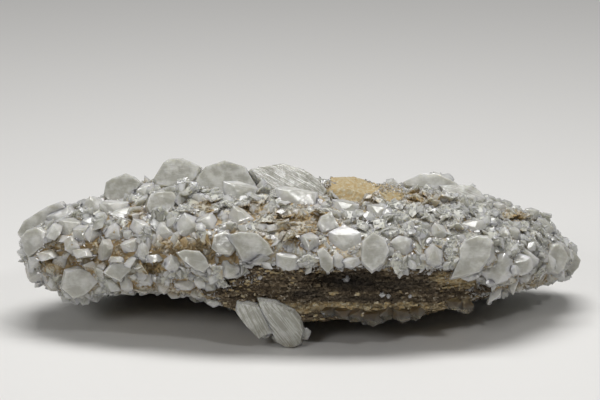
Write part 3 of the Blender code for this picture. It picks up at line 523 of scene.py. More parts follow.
def rock_finish(name, colours):
    """Brown bedded rock with darker partings, tan granular parts, pale grains and painted shade, nearly
    black, in its slot.
    """
    finish = Finish(name)
    place = finish.place()
    tan = finish.attribute("tan")
    tint = finish.attribute("tint")
    # painted shade: darkens the colour in the slot to nearly black and holds back its tan and pale grains
    painted_shade = finish.attribute("painted_shade")
    beds = finish.noise(finish.stretched(place, (60.0, 60.0, 620.0)), 1.0, 3.0, 0.6)
    grains = finish.noise(place, 900.0, 3.0, 0.65)
    blotch = finish.noise(place, 110.0, 4.0, 0.6)
    warm = finish.limit(tan + (blotch - 0.5) * 1.1 + tint * 0.3 - painted_shade * 0.8)
    bed = finish.ease(beds + (grains - 0.5) * 0.8 + tint * 0.3, 0.45, 0.95)
    body = finish.blend(bed, colours.rock, colours.rock_light)
    sandy = finish.blend(finish.ease(grains, 0.34, 0.66), colours.ochre, colours.rock_tan)
    mixed = finish.blend(finish.ease(warm, 0.25, 0.8), body, sandy)
    pale = finish.ease(grains + tint * 0.12, 0.66, 0.74) * (0.6 - painted_shade * 0.45)
    grey = finish.blend(pale, mixed, PALE_GRAIN)
    finish.set(Base_Color=finish.blend(finish.limit(painted_shade * 0.85), grey, SLOT_SHADE))
    height = grains * 0.7 + beds * 0.5
    finish.set(Normal=finish.relief(height, 0.6, 0.5 * MM))
    finish.set(Roughness=finish.limit(0.92 - pale * 0.4))
    return finish.material


def floor_finish(colours):
    """A plain floor, very slightly uneven in colour."""
    finish = Finish("plain_floor")
    place = finish.place()
    soft = finish.noise(place, 3.0, 2.0, 0.5)
    darker = tuple(0.96 * value for value in colours.floor)
    finish.set(Base_Color=finish.blend(soft, colours.floor, darker), Roughness=0.55)
    return finish.material


def place_in_view(point):
    """The a, b of a point in the front view."""
    seen = point - BLADE_TIP
    return seen.dot(RIGHT), seen.dot(UP)


def facing(turn, lean, swing):
    """Axes of a crystal seen in the front view: its length, its width and its broad face."""
    along = RIGHT * math.cos(math.radians(turn)) + UP * math.sin(math.radians(turn))
    across = UP * math.cos(math.radians(turn)) - RIGHT * math.sin(math.radians(turn))
    tilt = Matrix.Rotation(math.radians(swing), 3, UP) @ Matrix.Rotation(math.radians(lean), 3, -RIGHT)
    return tilt @ along, tilt @ across, tilt @ TOWARD


def in_ellipses(table, a, b):
    """The strongest of the soft ellipses of a table at a, b in the front view."""
    strongest = 0.0
    for mid_a, mid_b, half_a, half_b, strength in table:
        reach = ((a - mid_a) / half_a) ** 2 + ((b - mid_b) / half_b) ** 2
        strongest = max(strongest, strength * max(0.0, 1.0 - reach))
    return strongest


def stain_at(point):
    """How stained the crust is at a point in millimetres: in its recesses, and in patches elsewhere."""
    a, b = place_in_view(point)
    patches = max(0.0, noise.noise(point / 17.0) + 0.45 * noise.noise(point / 6.0))
    if point.y > 6.0:
        return min(1.0, 0.9 * patches)
    return min(1.0, 1.25 * in_ellipses(STAINS, a, b) + 0.42 * patches)


def solid_copy(node):
    """A merged copy of a node's solid."""
    body = bmesh.new()
    body.from_mesh(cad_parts[node].data)
    bmesh.ops.remove_doubles(body, verts=body.verts, dist=0.002 * MM)
    return body


def surface_of(body):
    """A shape's surface, for rays and distances. The shape is then freed."""
    tree = BVHTree.FromBMesh(body)
    body.free()
    return tree


def cut_off(body, place, normal):
    """Cut away what lies beyond a plane, and close the cut."""
    bmesh.ops.bisect_plane(
        body,
        geom=body.verts[:] + body.edges[:] + body.faces[:],
        plane_co=place,
        plane_no=normal,
        clear_outer=True,
    )
    bmesh.ops.holes_fill(body, edges=body.edges, sides=0)


def bevel_edges(body, width, angle):
    """Bevel the edges that turn by more than an angle."""
    bmesh.ops.bevel(
        body,
        geom=[edge for edge in body.edges if edge.calc_face_angle(0.0) > angle],
        offset=width,
        affect="EDGES",
        segments=1,
        profile=0.5,
        material=-1,
        clamp_overlap=True,
    )


def rhomb_shape(cut=1.0, chips=0, bevel=0.0, seed=0):
    """A flattened rhomb of unit length, width and thickness, as its vertices and faces.

    The apexes are cut flat at a share of the height, and low chips take off corners here and there.
    """
    random = np.random.default_rng(seed)
    body = bmesh.new()
    bmesh.ops.create_cube(body, size=1.0)
    upright = Vector((1.0, 1.0, 1.0)).rotation_difference(Vector((0.0, 0.0, 1.0)))
    stretch = Matrix.Diagonal((1.0 / 1.633, 1.0 / 1.414, 1.0 / 1.732)).to_4x4()
    bmesh.ops.transform(body, matrix=stretch @ upright.to_matrix().to_4x4(), verts=body.verts)
    normals = [Vector((0.0, 0.0, side)) for side in (1.0, -1.0) if cut < 1.0]
    shares = [cut for _ in normals]
    for _ in range(chips):
        normals.append(Vector(random.normal(0.0, 1.0, 3).tolist()).normalized())
        shares.append(random.uniform(0.84, 0.95))
    for normal, share in zip(normals, shares):
        cut_off(body, normal * max(vert.co.dot(normal) for vert in body.verts) * share, normal)
    if bevel > 0.0:
        bmesh.ops.dissolve_degenerate(body, dist=0.01, edges=body.edges)
        bevel_edges(body, bevel, 0.3)
    bmesh.ops.recalc_face_normals(body, faces=body.faces)
    return taken_apart(body)


class Crystals:
    """Many closed shapes joined in one mesh, with what their finish reads."""

    def __init__(self, seed, soak=0.15):
        self.random = np.random.default_rng(seed)
        self.soak = soak
        self.points, self.faces, self.grain = [], [], []
        self.layers = {"rim": [], "tint": [], "stain": [], "ridge": []}
        self.count = 0

    def add(self, shape, centre, axes, size, outward, stain, tint):
        """Add a shape with its centre and size in millimetres."""
        local = shape[0] * np.array(size)
        points = kept_inside(local @ rows_of(axes) + np.array(centre))
        height = (points - points.mean(axis=0)) @ np.array(outward) / (0.5 * max(size))
        root = np.clip(0.45 - 0.75 * height, 0.0, 1.0)
        # rim: how far out a point lies, which the finish whitens as a painted highlight
        radius = np.hypot(shape[0][:, 0], shape[0][:, 1])
        self.join(points, shape[1], local, radius / radius.max(), stain, root, tint)

    def join(self, points, faces, local, rim, stain, root, tint, ridge=0.0):
        offset = self.random.uniform(-400.0, 400.0, 3)
        self.points.append(points)
        self.faces += [[self.count + index for index in face] for face in faces]
        self.grain.append(local + offset)
        stain = np.clip(stain * (self.soak + root) + 0.24 * root**2, 0.0, 1.0)
        for key, values in (("rim", rim), ("tint", tint), ("stain", stain), ("ridge", ridge)):
            self.layers[key].append(np.full(len(points), values))
        self.count += len(points)

    def build(self, name, material):
        mesh = bpy.data.meshes.new(name)
        mesh.from_pydata((np.concatenate(self.points) * MM).tolist(), [], self.faces)
        grain = mesh.attributes.new("grain", "FLOAT_VECTOR", "POINT")
        grain.data.foreach_set("vector", np.concatenate(self.grain).astype(np.float32).ravel())
        set_layers(mesh, {key: np.concatenate(values) for key, values in self.layers.items()})
        mesh.update()
        return placed(name, mesh, material)


def kept_inside(points):
    """The points of one crystal, moved together as far as the solids' box needs."""
    low, high = points.min(axis=0), points.max(axis=0)
    points += np.maximum(np.array(CAD_BOX[0]) / MM + BOX_ROOM - low, 0.0)
    points -= np.maximum(high - np.array(CAD_BOX[1]) / MM + BOX_ROOM, 0.0)
    return points


def set_layers(mesh, layers):
    """Give a mesh's points the numbers that its finish reads."""
    for key, values in layers.items():
        layer = mesh.attributes.new(key, "FLOAT", "POINT")
        layer.data.foreach_set("value", np.array(values, dtype=np.float32))


def placed(name, mesh, material):
    """A new object in the scene, with its mesh and finish."""
    obj = bpy.data.objects.new(name, mesh)
    obj.data.materials.append(material)
    bpy.context.scene.collection.objects.link(obj)
    return obj


def in_view(a, b, depth):
    """The point at a, b in the front view that lies this far towards the viewer."""
    return BLADE_TIP + RIGHT * a + UP * b + TOWARD * depth


def broad_shape(outline, axes, thickness, edge, seed):
    """A broad crystal about its own middle, in millimetres: an outlined slab cut by six rhomb faces."""
    random = np.random.default_rng(seed)
    along, across, broad = axes
    body = bmesh.new()
    ring = []
    for offset in rim_places(outline, broad):
        ring.append(body.verts.new(offset + offset.normalized() * PROUD))
    middle = body.faces.new(ring)
    reach = min(vert.co.length for vert in ring) - PROUD
    thick = thickness + 2.0 * PROUD
    for side in (1.0, -1.0):
        made = bmesh.ops.extrude_face_region(body, geom=[middle])["geom"]
        top = next(item for item in made if isinstance(item, bmesh.types.BMFace))
        bmesh.ops.translate(body, vec=broad * side * 0.5 * thick, verts=top.verts)
        bmesh.ops.scale(body, vec=(RIM_TAPER,) * 3, verts=top.verts)
    bmesh.ops.delete(body, geom=[middle], context="FACES_ONLY")
    bmesh.ops.recalc_face_normals(body, faces=body.faces)
    apex = (along * random.uniform(-0.35, 0.35) + across * random.uniform(-0.35, 0.35)) * reach
    first = random.uniform(0.0, 2.0 * math.pi)
    for step in range(6):
        side = 1.0 if step < 3 else -1.0
        turn = first + step * 2.0 * math.pi / 3.0 + (0.5 + 0.5 * side) * math.pi
        slope = random.uniform(*FACE_SLOPE)
        outward = (along * math.cos(turn) + across * math.sin(turn)) * slope
        peak = apex * side + broad * side * (APEX_HEIGHT * thickness + PROUD)
        cut_off(body, peak, (broad * side + outward).normalized())
    bmesh.ops.dissolve_degenerate(body, dist=0.02, edges=body.edges)
    for side in (1.0, -1.0):
        peak = apex * side + broad * side * (APEX_HEIGHT * thickness + PROUD)
        faces = [face for face in body.faces if face.normal.dot(broad) * side > 0.85]
        bmesh.ops.inset_region(body, faces=faces, thickness=0.02, use_boundary=True, use_even_offset=True)
        for vert in {vert for face in faces for vert in face.verts}:
            vert.co = vert.co.lerp(peak, 0.2)
    bevel_edges(body, edge, 0.25)
    bmesh.ops.recalc_face_normals(body, faces=body.faces)
    return taken_apart(body)


def rim_places(outline, broad):
    """The corners of an outline about its middle, on a crystal's middle plane."""
    mid_a, mid_b = np.mean(outline, axis=0)
    places = []
    for a, b in outline:
        offset = RIGHT * (a - mid_a) + UP * (b - mid_b)
        places.append(offset - TOWARD * (offset.dot(broad) / TOWARD.dot(broad)))
    return places


def rows_of(vectors):
    """Vectors as the rows of an array."""
    return np.array([tuple(vector) for vector in vectors])


def one_of(random, choices):
    """One of these, each as likely as the others."""
    return choices[int(random.integers(len(choices)))]


def taken_apart(body):
    """The vertices and faces of a shape, which is then freed."""
    body.verts.index_update()
    points = rows_of(vert.co for vert in body.verts)
    faces = [[vert.index for vert in face.verts] for face in body.faces]
    body.free()
    return points, faces


def local_places(points, axes):
    """Points about a crystal's middle, along its length, width and broad face."""
    return points @ rows_of(axes).T


def add_broad(crystals, centre, outline, axes, thickness, edge, seed, tint, stain, lines=(0.0, 0.0)):
    """Add a broad crystal, with the turn and strength of its striations."""
    points, faces = broad_shape(outline, axes, thickness, edge, seed)
    local = local_places(points, axes)
    angle = math.radians(lines[0])
    along = local[:, 0] * math.cos(angle) + local[:, 1] * math.sin(angle)
    across = local[:, 1] * math.cos(angle) - local[:, 0] * math.sin(angle)
    grain = np.stack((along, across, local[:, 2]), axis=1)
    ring = local_places(rows_of(rim_places(outline, axes[2])), axes)
    # rim: nearness to the crystal's edge, which the finish whitens as a painted highlight
    rim = np.clip(1.0 - rim_distance(local[:, :2], ring[:, :2]) / 2.0, 0.0, 1.0)
    root = np.clip(0.35 - points @ np.array(TOWARD) / 6.0, 0.0, 1.0)
    crystals.join(kept_inside(points + np.array(centre)), faces, grain, rim, stain, root, tint, lines[1])


def rim_distance(places, ring):
    """How far each flat place is from the nearest side of a closed ring."""
    nearest = np.full(len(places), np.inf)
    for start, end in zip(ring, np.roll(ring, -1, axis=0)):
        side = end - start
        share = np.clip((places - start) @ side / (side @ side), 0.0, 1.0)
        away = places - start - share[:, None] * side
        nearest = np.minimum(nearest, np.hypot(away[:, 0], away[:, 1]))
    return nearest


def add_companions(crystals, shapes, rim, centre, axes, size, count, outward, stain, tint):
    """Smaller crystals grown nearly parallel to a large one, along its lower rim."""
    random = crystals.random
    low = [index for index, place in enumerate(rim) if place.dot(UP) < 0.1 * size[1]]
    for _ in range(count):
        index = one_of(random, low)
        between = rim[index - 1].lerp(rim[index], random.uniform(0.0, 1.0))
        middle = centre + between * random.uniform(0.82, 1.0)
        middle -= axes[2] * (random.uniform(0.0, 0.4) * size[2])
        sway = Matrix.Rotation(random.normal(0.0, 0.12), 3, axes[0])
        sway = sway @ Matrix.Rotation(random.normal(0.0, 0.2), 3, axes[2])
        width = min(size[0], size[1]) * random.uniform(0.18, 0.36)
        length = width * random.uniform(1.0, 1.5)
        small = (length, width, min(size[2] * 0.8, width * random.uniform(0.4, 0.7)))
        shape = one_of(random, shapes)
        turned = [sway @ axis for axis in axes]
        crystals.add(shape, middle, turned, small, outward, stain, tint + random.uniform(-0.2, 0.1))


def ellipse_rim(axes, size):
    """Places round the middle of a crystal of this length and width."""
    turns = [step * math.pi / 6.0 for step in range(12)]
    length, width = 0.47 * size[0], 0.47 * size[1]
    return [axes[0] * (length * math.cos(turn)) + axes[1] * (width * math.sin(turn)) for turn in turns]


class Spacing:
    """Keeps places apart: a place is free if it is far enough from every place taken before."""

    CELL = 6.0

    def __init__(self):
        self.cells = {}

    def near(self, point):
        home = [math.floor(value / self.CELL) for value in point]
        for x in range(home[0] - 1, home[0] + 2):
            for y in range(home[1] - 1, home[1] + 2):
                for z in range(home[2] - 1, home[2] + 2):
                    yield from self.cells.get((x, y, z), ())

    def free(self, point, reach):
        return all((point - other).length > reach + taken for other, taken in self.near(point))

    def take(self, point, reach):
        home = tuple(math.floor(value / self.CELL) for value in point)
        self.cells.setdefault(home, []).append((point, reach))


def outer_samples(node, inner_tree, count, seed):
    """Random places in millimetres on the outer side of a solid, with their normals."""
    random = np.random.default_rng(seed)
    body = solid_copy(node)
    bmesh.ops.triangulate(body, faces=body.faces)
    corners, normals, areas = [], [], []
    for face in body.faces:
        middle = face.calc_center_median()
        if inner_tree.ray_cast(middle, face.normal, GAP_REACH * MM)[0] is None:
            corners.append([tuple(vert.co / MM) for vert in face.verts])
            normals.append(tuple(face.normal))
            areas.append(face.calc_area())
    body.free()
    corners, normals, areas = np.array(corners), np.array(normals), np.array(areas)
    picked = random.choice(len(areas), size=count, p=areas / areas.sum())
    shares = np.sort(random.random((count, 2)), axis=1)
    weights = np.stack((shares[:, 0], shares[:, 1] - shares[:, 0], 1.0 - shares[:, 1]), axis=1)
    points = np.einsum("nk,nkc->nc", weights, corners[picked])
    pairs = zip(points.tolist(), normals[picked].tolist())
    return [(Vector(point), Vector(normal)) for point, normal in pairs]


def sheltered(tree, point, normal):
    """The share of short rays from a surface place that meet the surface again."""
    across = normal.orthogonal().normalized()
    start = (point + normal * 0.1) * MM
    hits = 0
    for step in range(6):
        side = Matrix.Rotation(step * math.pi / 3.0, 3, normal) @ across
        if tree.ray_cast(start, (normal * 0.6 + side).normalized(), 5.0 * MM)[0] is not None:
            hits += 1
    return hits / 6.0


def random_axes(random, normal, spread):
    """Axes of a crystal whose broad face leans at random from a surface's normal."""
    lean = Vector(random.normal(0.0, spread, 3).tolist())
    broad = (normal + lean).normalized()
    along = broad.cross(Vector(random.normal(0.0, 1.0, 3).tolist())).normalized()
    return along, broad.cross(along), broad


def small_shapes(chips=(1, 2, 3)):
    """The shapes that the scattered crystals repeat, with so many chips in turn."""
    cuts = (0.9, 0.75, 0.62, 0.55, 0.5, 0.45, 0.6, 0.42)
    return [rhomb_shape(cut, chips[index % len(chips)], seed=SEED + index) for index, cut in enumerate(cuts)]


def bevelled_shapes(bevel):
    """The shapes of the large crystals, with narrow bevelled edges."""
    return [rhomb_shape(APEX_CUT, chips=5, bevel=bevel, seed=SEED + index) for index in range(8)]


class Surroundings:
    """What the pieces share: the surfaces, the places taken and where the rock is bare."""

    def __init__(self):
        self.crust = surface_of(solid_copy("calcite_crust"))
        self.rock = surface_of(solid_copy("host_rock"))
        self.large = None
        self.spacing = Spacing()
        self.bare = {}


state = {}


def large_crystals(settings, colours):
    """The crystals of BROAD and LARGE, each with smaller ones along its lower rim."""
    shapes = bevelled_shapes(0.018)
    small = small_shapes()
    crystals = Crystals(SEED)
    random = crystals.random
    for index, (lean, swing, thickness, depth, outline) in enumerate(BROAD):
        axes = facing(0.0, lean, swing)
        size = (*np.ptp(outline, axis=0), thickness)
        centre = in_view(*np.mean(outline, axis=0), depth)
        rim = rim_places(outline, axes[2])
        stain = 0.3 * stain_at(centre)
        tint = random.uniform(0.2, 0.75)
        lines = RIDGED.get(index, (0.0, 0.0))
        tint = 0.18 if index in RIDGED else tint
        add_broad(crystals, centre, outline, axes, thickness, settings.edge / MM, index, tint, stain, lines)
        add_companions(crystals, small, rim, centre, axes, size, 6, TOWARD, stain, tint)
    for a, b, length, width, turn, lean, swing, thickness, depth in LARGE:
        axes = facing(turn, lean, swing)
        centre = in_view(a, b, depth)
        size = (length + 2.0 * PROUD, width + 2.0 * PROUD, thickness + 2.0 * PROUD)
        stain = 0.4 * stain_at(centre)
        tint = random.uniform(0.1, 0.8)
        shape = one_of(random, shapes)
        crystals.add(shape, centre, axes, size, TOWARD, stain, tint)
        add_companions(crystals, small, ellipse_rim(axes, size), centre, axes, size, 6, TOWARD, stain, tint)
    finish = calcite_finish("pale_calcite", colours)
    piece = crystals.build("large_crystals", finish)
    body = bmesh.new()
    body.from_mesh(piece.data)
    state["around"].large = surface_of(body)
    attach(piece, "root")


def hides_large(large, point, length):
    """Whether a crystal of this length at a place would stand before a large one in the front view."""
    hidden = 0
    for a, b in ((0.35, 0.0), (-0.35, 0.0), (0.0, 0.35), (0.0, -0.35)):
        start = point + (RIGHT * a + UP * b + TOWARD * 0.4) * length
        if large.ray_cast(start * MM, -TOWARD, (0.4 * length + 3.0) * MM)[0] is not None:
            hidden += 1
    return hidden > 2


def bared(stain):
    """How far a stained place is bare of crystals, so that brown grains show."""
    return min(1.0, max(0.0, (stain - 0.3) / 0.4))


def border_samples(around, medium):
    """Places on the bare rock where crystals stand: round the knob, and in patches beside the crust."""
    samples = []
    for point, normal in outer_samples("host_rock", around.crust, 6000 if medium else 20000, SEED + 3):
        patch = noise.noise(point / 7.0)
        if point.z > KNOB_FOOT:
            mid_x, mid_y, half_x, half_y = KNOB
            away = ((point.x - mid_x) / half_x) ** 2 + ((point.y - mid_y) / half_y) ** 2
            covered = not medium and away > 0.75 + 0.7 * patch
        elif point.y > 10.0:
            covered = beside(around.crust, point, 2.5 + 9.0 * max(0.0, patch + 0.1))
        else:
            covered = not medium and beside(around.crust, point, 1.3 + 5.0 * max(0.0, patch + 0.1))
        if covered and point.z > REST_HEIGHT:
            samples.append((point, normal, 0.35 + 0.25 * patch))
    return samples


def beside(tree, point, reach):
    """Whether a surface lies within a reach of a point in millimetres."""
    return tree.find_nearest(point * MM, reach * MM)[0] is not None


def coarseness(point):
    """How large the scattered crystals are at a point: finer to the right and behind."""
    coarse = float(np.interp(point.x, (-100.0, -60.0, -20.0, 20.0, 90.0), (1.0, 0.92, 0.75, 0.62, 0.62)))
    return 0.4 + 0.6 * coarse if point.y > BACK_START else coarse


def scattered(kind, limit, longest):
    """Crystals of one kind over the crust's outer side where the larger ones leave room."""
    around = state["around"]
    tries, room, spread, soak = SCATTER[kind]
    medium = kind == "medium_crystals"
    crystals = Crystals(SEED + (1 if medium else 2), soak)
    random = crystals.random
    shapes = small_shapes() if medium else small_shapes(chips=(0, 0, 1))
    samples = outer_samples("calcite_crust", around.rock, tries, SEED + len(kind))
    samples = [(point, normal, 0.0) for point, normal in samples]
    samples = border_samples(around, medium) + samples
    made = 0
    for point, normal, soiled in samples:
        if made == limit:
            break
        length = longest * coarseness(point) * (0.42 + 0.58 * random.uniform(0.0, 1.0) ** 1.6)
        stain = max(soiled, stain_at(point))
        if not soiled and random.random() < bared(stain) * 0.6:
            if medium:
                continue
            length = random.uniform(1.0, 2.4)
        gap = room + 0.04 * (not medium and point.y > BACK_START)
        if not around.spacing.free(point, gap * length):
            continue
        near = beside(around.large, point, 0.4 + 0.1 * length)
        if near or medium and hides_large(around.large, point, length):
            continue
        shelter = sheltered(around.crust, point, normal)
        if medium and shelter > 0.75 and random.random() < 0.6:
            continue
        axes = random_axes(random, normal, spread)
        size = (length, length * random.uniform(0.62, 0.95), length * random.uniform(0.28, 0.55))
        stain = min(1.0, stain * (0.4 + 0.7 * shelter))
        tint = random.uniform(0.0, 1.0) ** 1.3
        shape = one_of(random, shapes)
        centre = point + normal * length * random.uniform(-0.05, 0.12)
        crystals.add(shape, centre, axes, size, normal, stain, tint)
        around.spacing.take(point, gap * length)
        made += 1
    if medium:
        add_rock_crystals(crystals, shapes[2], around.rock)
    piece = crystals.build(kind, bpy.data.materials["pale_calcite"])
    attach(piece, "root")


def add_rock_crystals(crystals, shape, rock):
    """Add the single pale crystals on the bare rock."""
    random = crystals.random
    for a, b, length, width, turn in ROCK_CRYSTALS:
        hit = rock.ray_cast(in_view(a, b, 60.0) * MM, -TOWARD)[0]
        axes = facing(turn, random.uniform(0.0, 25.0), random.uniform(-15.0, 15.0))
        size = (length, width, 0.5 * length)
        crystals.add(shape, hit / MM + TOWARD * 0.8, axes, size, TOWARD, stain=0.1, tint=0.9)


def crust_bed(colours):
    """The crust under the scattered crystals, as the solid has it, with its hollows stained."""
    around = state["around"]
    body = solid_copy("calcite_crust")
    for _ in range(3):
        long = [edge for edge in body.edges if edge.calc_length() > BED_EDGE * MM]
        long = [edge for edge in long if edge_shows(edge, around.rock)]
        bmesh.ops.subdivide_edges(body, edges=long, cuts=1)
        bmesh.ops.triangulate(body, faces=[face for face in body.faces if len(face.verts) > 4])
    body.normal_update()
    under = [vert for vert in body.verts if beside(around.large, vert.co / MM, SINK_REACH)]
    for vert in under:
        vert.co -= vert.normal * SINK * MM
    crystals = Crystals(SEED + 5)
    stain, tint, root = [], [], []
    for vert in body.verts:
        point = vert.co / MM
        shelter = sheltered(around.crust, point, vert.normal)
        stain.append(min(1.0, 0.2 * shelter + stain_at(point) * (0.5 + 0.9 * shelter)))
        root.append(0.25 + 0.5 * shelter)
        tint.append(0.4 + 0.5 * noise.noise(point / 5.0))
    points, faces = taken_apart(body)
    points = points / MM
    crystals.join(points, faces, points, 0.2, np.array(stain), np.array(root), np.array(tint))
    finish = calcite_finish("crust_calcite", colours)
    piece = crystals.build("crust_bed", finish)
    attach(piece, "root")
    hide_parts("calcite_crust")


def edge_shows(edge, rock):
    """Whether an edge of the crust lies on its outer side."""
    middle = (edge.verts[0].co + edge.verts[1].co) * 0.5
    face = edge.link_faces[0]
    return rock.ray_cast(middle, face.normal, GAP_REACH * MM)[0] is None


def bed_relief(point):
    """How far the bedded rock stands out at a point in millimetres: ledges, cracks and grains."""
    height = point.z + 0.06 * point.x + 0.10 * point.y + 1.6 * noise.noise(point / 16.0)
    bed = math.floor(height / BED_HEIGHT)
    ledge = noise.noise(Vector((bed * 5.3, point.x / 8.0, point.y / 8.0)))
    parting = 1.0 if abs(height / BED_HEIGHT - bed) < PARTING else 0.0
    distances = noise.voronoi(point / BLOCK)[0]
    crack = max(0.0, CRACK - (distances[1] - distances[0])) / CRACK
    grain = noise.noise(point / 0.8)
    rough = 1.0 - 0.9 * min(1.0, tan_at(point))
    return 0.95 * ledge * rough - 0.45 * parting * rough - 0.45 * crack * rough + 0.28 * grain


def painted_shade_at(point):
    """How far painted shade darkens the rock's colour at a point in millimetres: to nearly black in the
    slot.
    """
    a, b = place_in_view(point)
    return in_ellipses(PAINTED_SHADE_PATCHES, a, b) if point.y < 4.0 else 0.0


def tan_at(point):
    """How tan the rock is at a point in millimetres."""
    a, b = place_in_view(point)
    front = in_ellipses(TAN_ROCK, a, b) if point.y < 4.0 or point.z > KNOB_FOOT else 0.0
    under = max(0.0, noise.noise(point / 21.0) + 0.1) * 1.1
    low = 0.5 if point.z < 14.0 else 0.0
    return min(1.0, front + low * under + max(0.0, noise.noise(point / 9.0)) * 0.35)


def rock_surface(colours):
    """The rock as its solid has it, with relief wherever no crust covers it."""
    around = state["around"]
    body = solid_copy("host_rock")
    bmesh.ops.triangulate(body, faces=body.faces)
    for length in ROCK_EDGES:
        long = [
            edge
            for edge in body.edges
            if edge.calc_length() > length * MM and bare(edge.verts[0], around) + bare(edge.verts[1], around)
        ]
        bmesh.ops.subdivide_edges(body, edges=long, cuts=1)
        bmesh.ops.triangulate(body, faces=[face for face in body.faces if len(face.verts) > 3])
    body.normal_update()
    moves = []
    for vert in body.verts:
        point = vert.co / MM
        share = min(1.0, point.z / REST_HEIGHT) if bare(vert, around) else 0.0
        moves.append(vert.normal * (bed_relief(point) * share * MM) if share else Vector())
    for vert, move in zip(body.verts, moves):
        vert.co += move
        vert.co.z = max(vert.co.z, 0.0)
    body.verts.index_update()
    tans = [tan_at(vert.co / MM) for vert in body.verts]
    tints = [0.5 + 0.5 * noise.noise(vert.co / MM / 1.6) for vert in body.verts]
    # painted shade of the slot, which the finish turns nearly black
    painted_shades = [painted_shade_at(vert.co / MM) for vert in body.verts]
    mesh = bpy.data.meshes.new("rock_surface")
    body.to_mesh(mesh)
    body.free()
    set_layers(mesh, {"tan": tans, "tint": tints, "painted_shade": painted_shades})
    piece = placed("rock_surface", mesh, rock_finish("bedded_rock", colours))
    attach(piece, "root")
    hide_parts("host_rock")


def bare(vert, around):
    """Whether the rock shows at a vertex, which no crust covers."""
    key = tuple(round(value, 6) for value in vert.co)
    if key not in around.bare:
        start = vert.co + vert.normal * 0.02 * MM
        around.bare[key] = uncovered(around.crust, start, vert.normal)
    return around.bare[key]


def uncovered(crust, start, normal):
    """Whether a ray from the rock meets no crust over it."""
    return crust.ray_cast(start, normal, COVER_REACH * MM)[0] is None


def grain_shapes(random):
    """Blocky shapes that the rock grains repeat."""
    shapes = []
    for _ in range(6):
        grain = bmesh.new()
        bmesh.ops.create_cube(grain, size=1.0)
        for vert in grain.verts:
            vert.co += Vector(random.uniform(-0.17, 0.17, 3).tolist())
        cut_off(grain, (0.3, 0.3, 0.2), (1.0, 0.8, 0.5))
        shapes.append(taken_apart(grain))
    return shapes


def bedding(random):
    """Axes of a slab that lies nearly along the beds of the rock."""
    return random_axes(random, Vector((-0.05, 0.25, 1.0)), 0.16)


def rock_grains(settings):
    """Blocky grains that roughen the bare rock."""
    around = state["around"]
    crystals = Crystals(SEED + 9)
    random = crystals.random
    shapes = grain_shapes(random)
    samples = []
    for point, normal in outer_samples("host_rock", around.crust, 26000, SEED + 9):
        if point.z < REST_HEIGHT or point.z > KNOB_FOOT or point.y > 0.0 and random.random() < 0.6:
            continue
        if uncovered(around.crust, (point + normal * 0.02) * MM, normal):
            place = point + normal * (bed_relief(point) + 0.05)
            most = 1.0 if tan_at(point) > 0.6 else 1.8
            # grains in the slot take its painted shade too
            samples.append((place, bedding(random), most, tan_at(point), painted_shade_at(point)))
    del samples[settings.grain_count :]
    tans, painted_shades = [], []
    for point, axes, most, tan, painted_shade in samples:
        size = random.uniform(0.6, 1.0) ** 2 * most
        shape = one_of(random, shapes)
        sizes = (size * random.uniform(0.9, 1.6), size, size * random.uniform(0.35, 0.65))
        crystals.add(shape, point, axes, sizes, axes[2], 0.0, random.uniform(0.0, 1.0))
        lighter = 0.4 if random.random() < 0.2 else 0.0
        tans.append(np.full(len(shape[0]), min(1.0, tan + lighter)))
        painted_shades.append(np.full(len(shape[0]), painted_shade))
    piece = crystals.build("rock_grains", bpy.data.materials["bedded_rock"])
    set_layers(piece.data, {"tan": np.concatenate(tans), "painted_shade": np.concatenate(painted_shades)})
    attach(piece, "root")


def hung_centre(a, b, y):
    """The point with this y at a, b in the front view."""
    return Vector((a, y, (b - UP.y * (y - BLADE_TIP.y)) / UP.z))


def hanging_blades(settings, colours):
    """The pair of blades, with smaller crystals along their lower rims."""
    crystals = Crystals(SEED + 20)
    small = small_shapes()
    for index, (y, lean, swing, thickness, outline) in enumerate(BLADES):
        axes = facing(0.0, lean, swing)
        centre = hung_centre(*np.mean(outline, axis=0), y)
        edge, seed, lines = settings.edge / MM, BLADE_SEED + index, BLADE_LINES[index]
        add_broad(crystals, centre, outline, axes, thickness, edge, seed, tint=0.4, stain=0.08, lines=lines)
        rim = [place for place in rim_places(outline, axes[2]) if place.dot(UP) < 6.0]
        size = (*np.ptp(outline, axis=0), thickness)
        add_companions(crystals, small, rim, centre, axes, size, 4, TOWARD, stain=0.1, tint=0.4)
    finish = calcite_finish("streaked_calcite", colours)
    piece = crystals.build("striated_blades", finish)
    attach(piece, "root")
    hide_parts("hanging_blades")


def fringe(name, node, rows, finish):
    """One row of crystals that stands for its node, in a finish darkened as painted shade under the front
    edge.
    """
    crystals = Crystals(SEED + len(rows))
    shapes = bevelled_shapes(0.020)
    small = small_shapes()
    random = crystals.random
    for a, b, y, length, width, turn, lean, swing, thickness in rows:
        axes = facing(turn, lean, swing)
        centre = hung_centre(a, b, y)
        shape = one_of(random, shapes)
        size = (length, width, thickness)
        # a low tint keeps these crystals dark, as part of the painted shade; the strong stain makes them
        # brown-grey
        crystals.add(shape, centre, axes, size, -UP, stain=0.6, tint=random.uniform(0.0, 0.25))
        rim = ellipse_rim(axes, size)
        add_companions(crystals, small, rim, centre, axes, size, 7, -UP, stain=0.6, tint=0.2)
    piece = crystals.build(name, finish)
    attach(piece, "root")
    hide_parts(node)


def area_light(name, place, size, power):
    """A soft rectangular light that looks at the middle of the plate."""
    light = bpy.data.lights.new(name, "AREA")
    light.shape = "RECTANGLE"
    light.size, light.size_y = size
    light.energy = power
    obj = bpy.data.objects.new(name, light)
    obj.location = place
    obj.rotation_euler = (Vector(LIGHT_AIM) - Vector(place)).to_track_quat("-Z", "Y").to_euler()
    bpy.context.scene.collection.objects.link(obj)


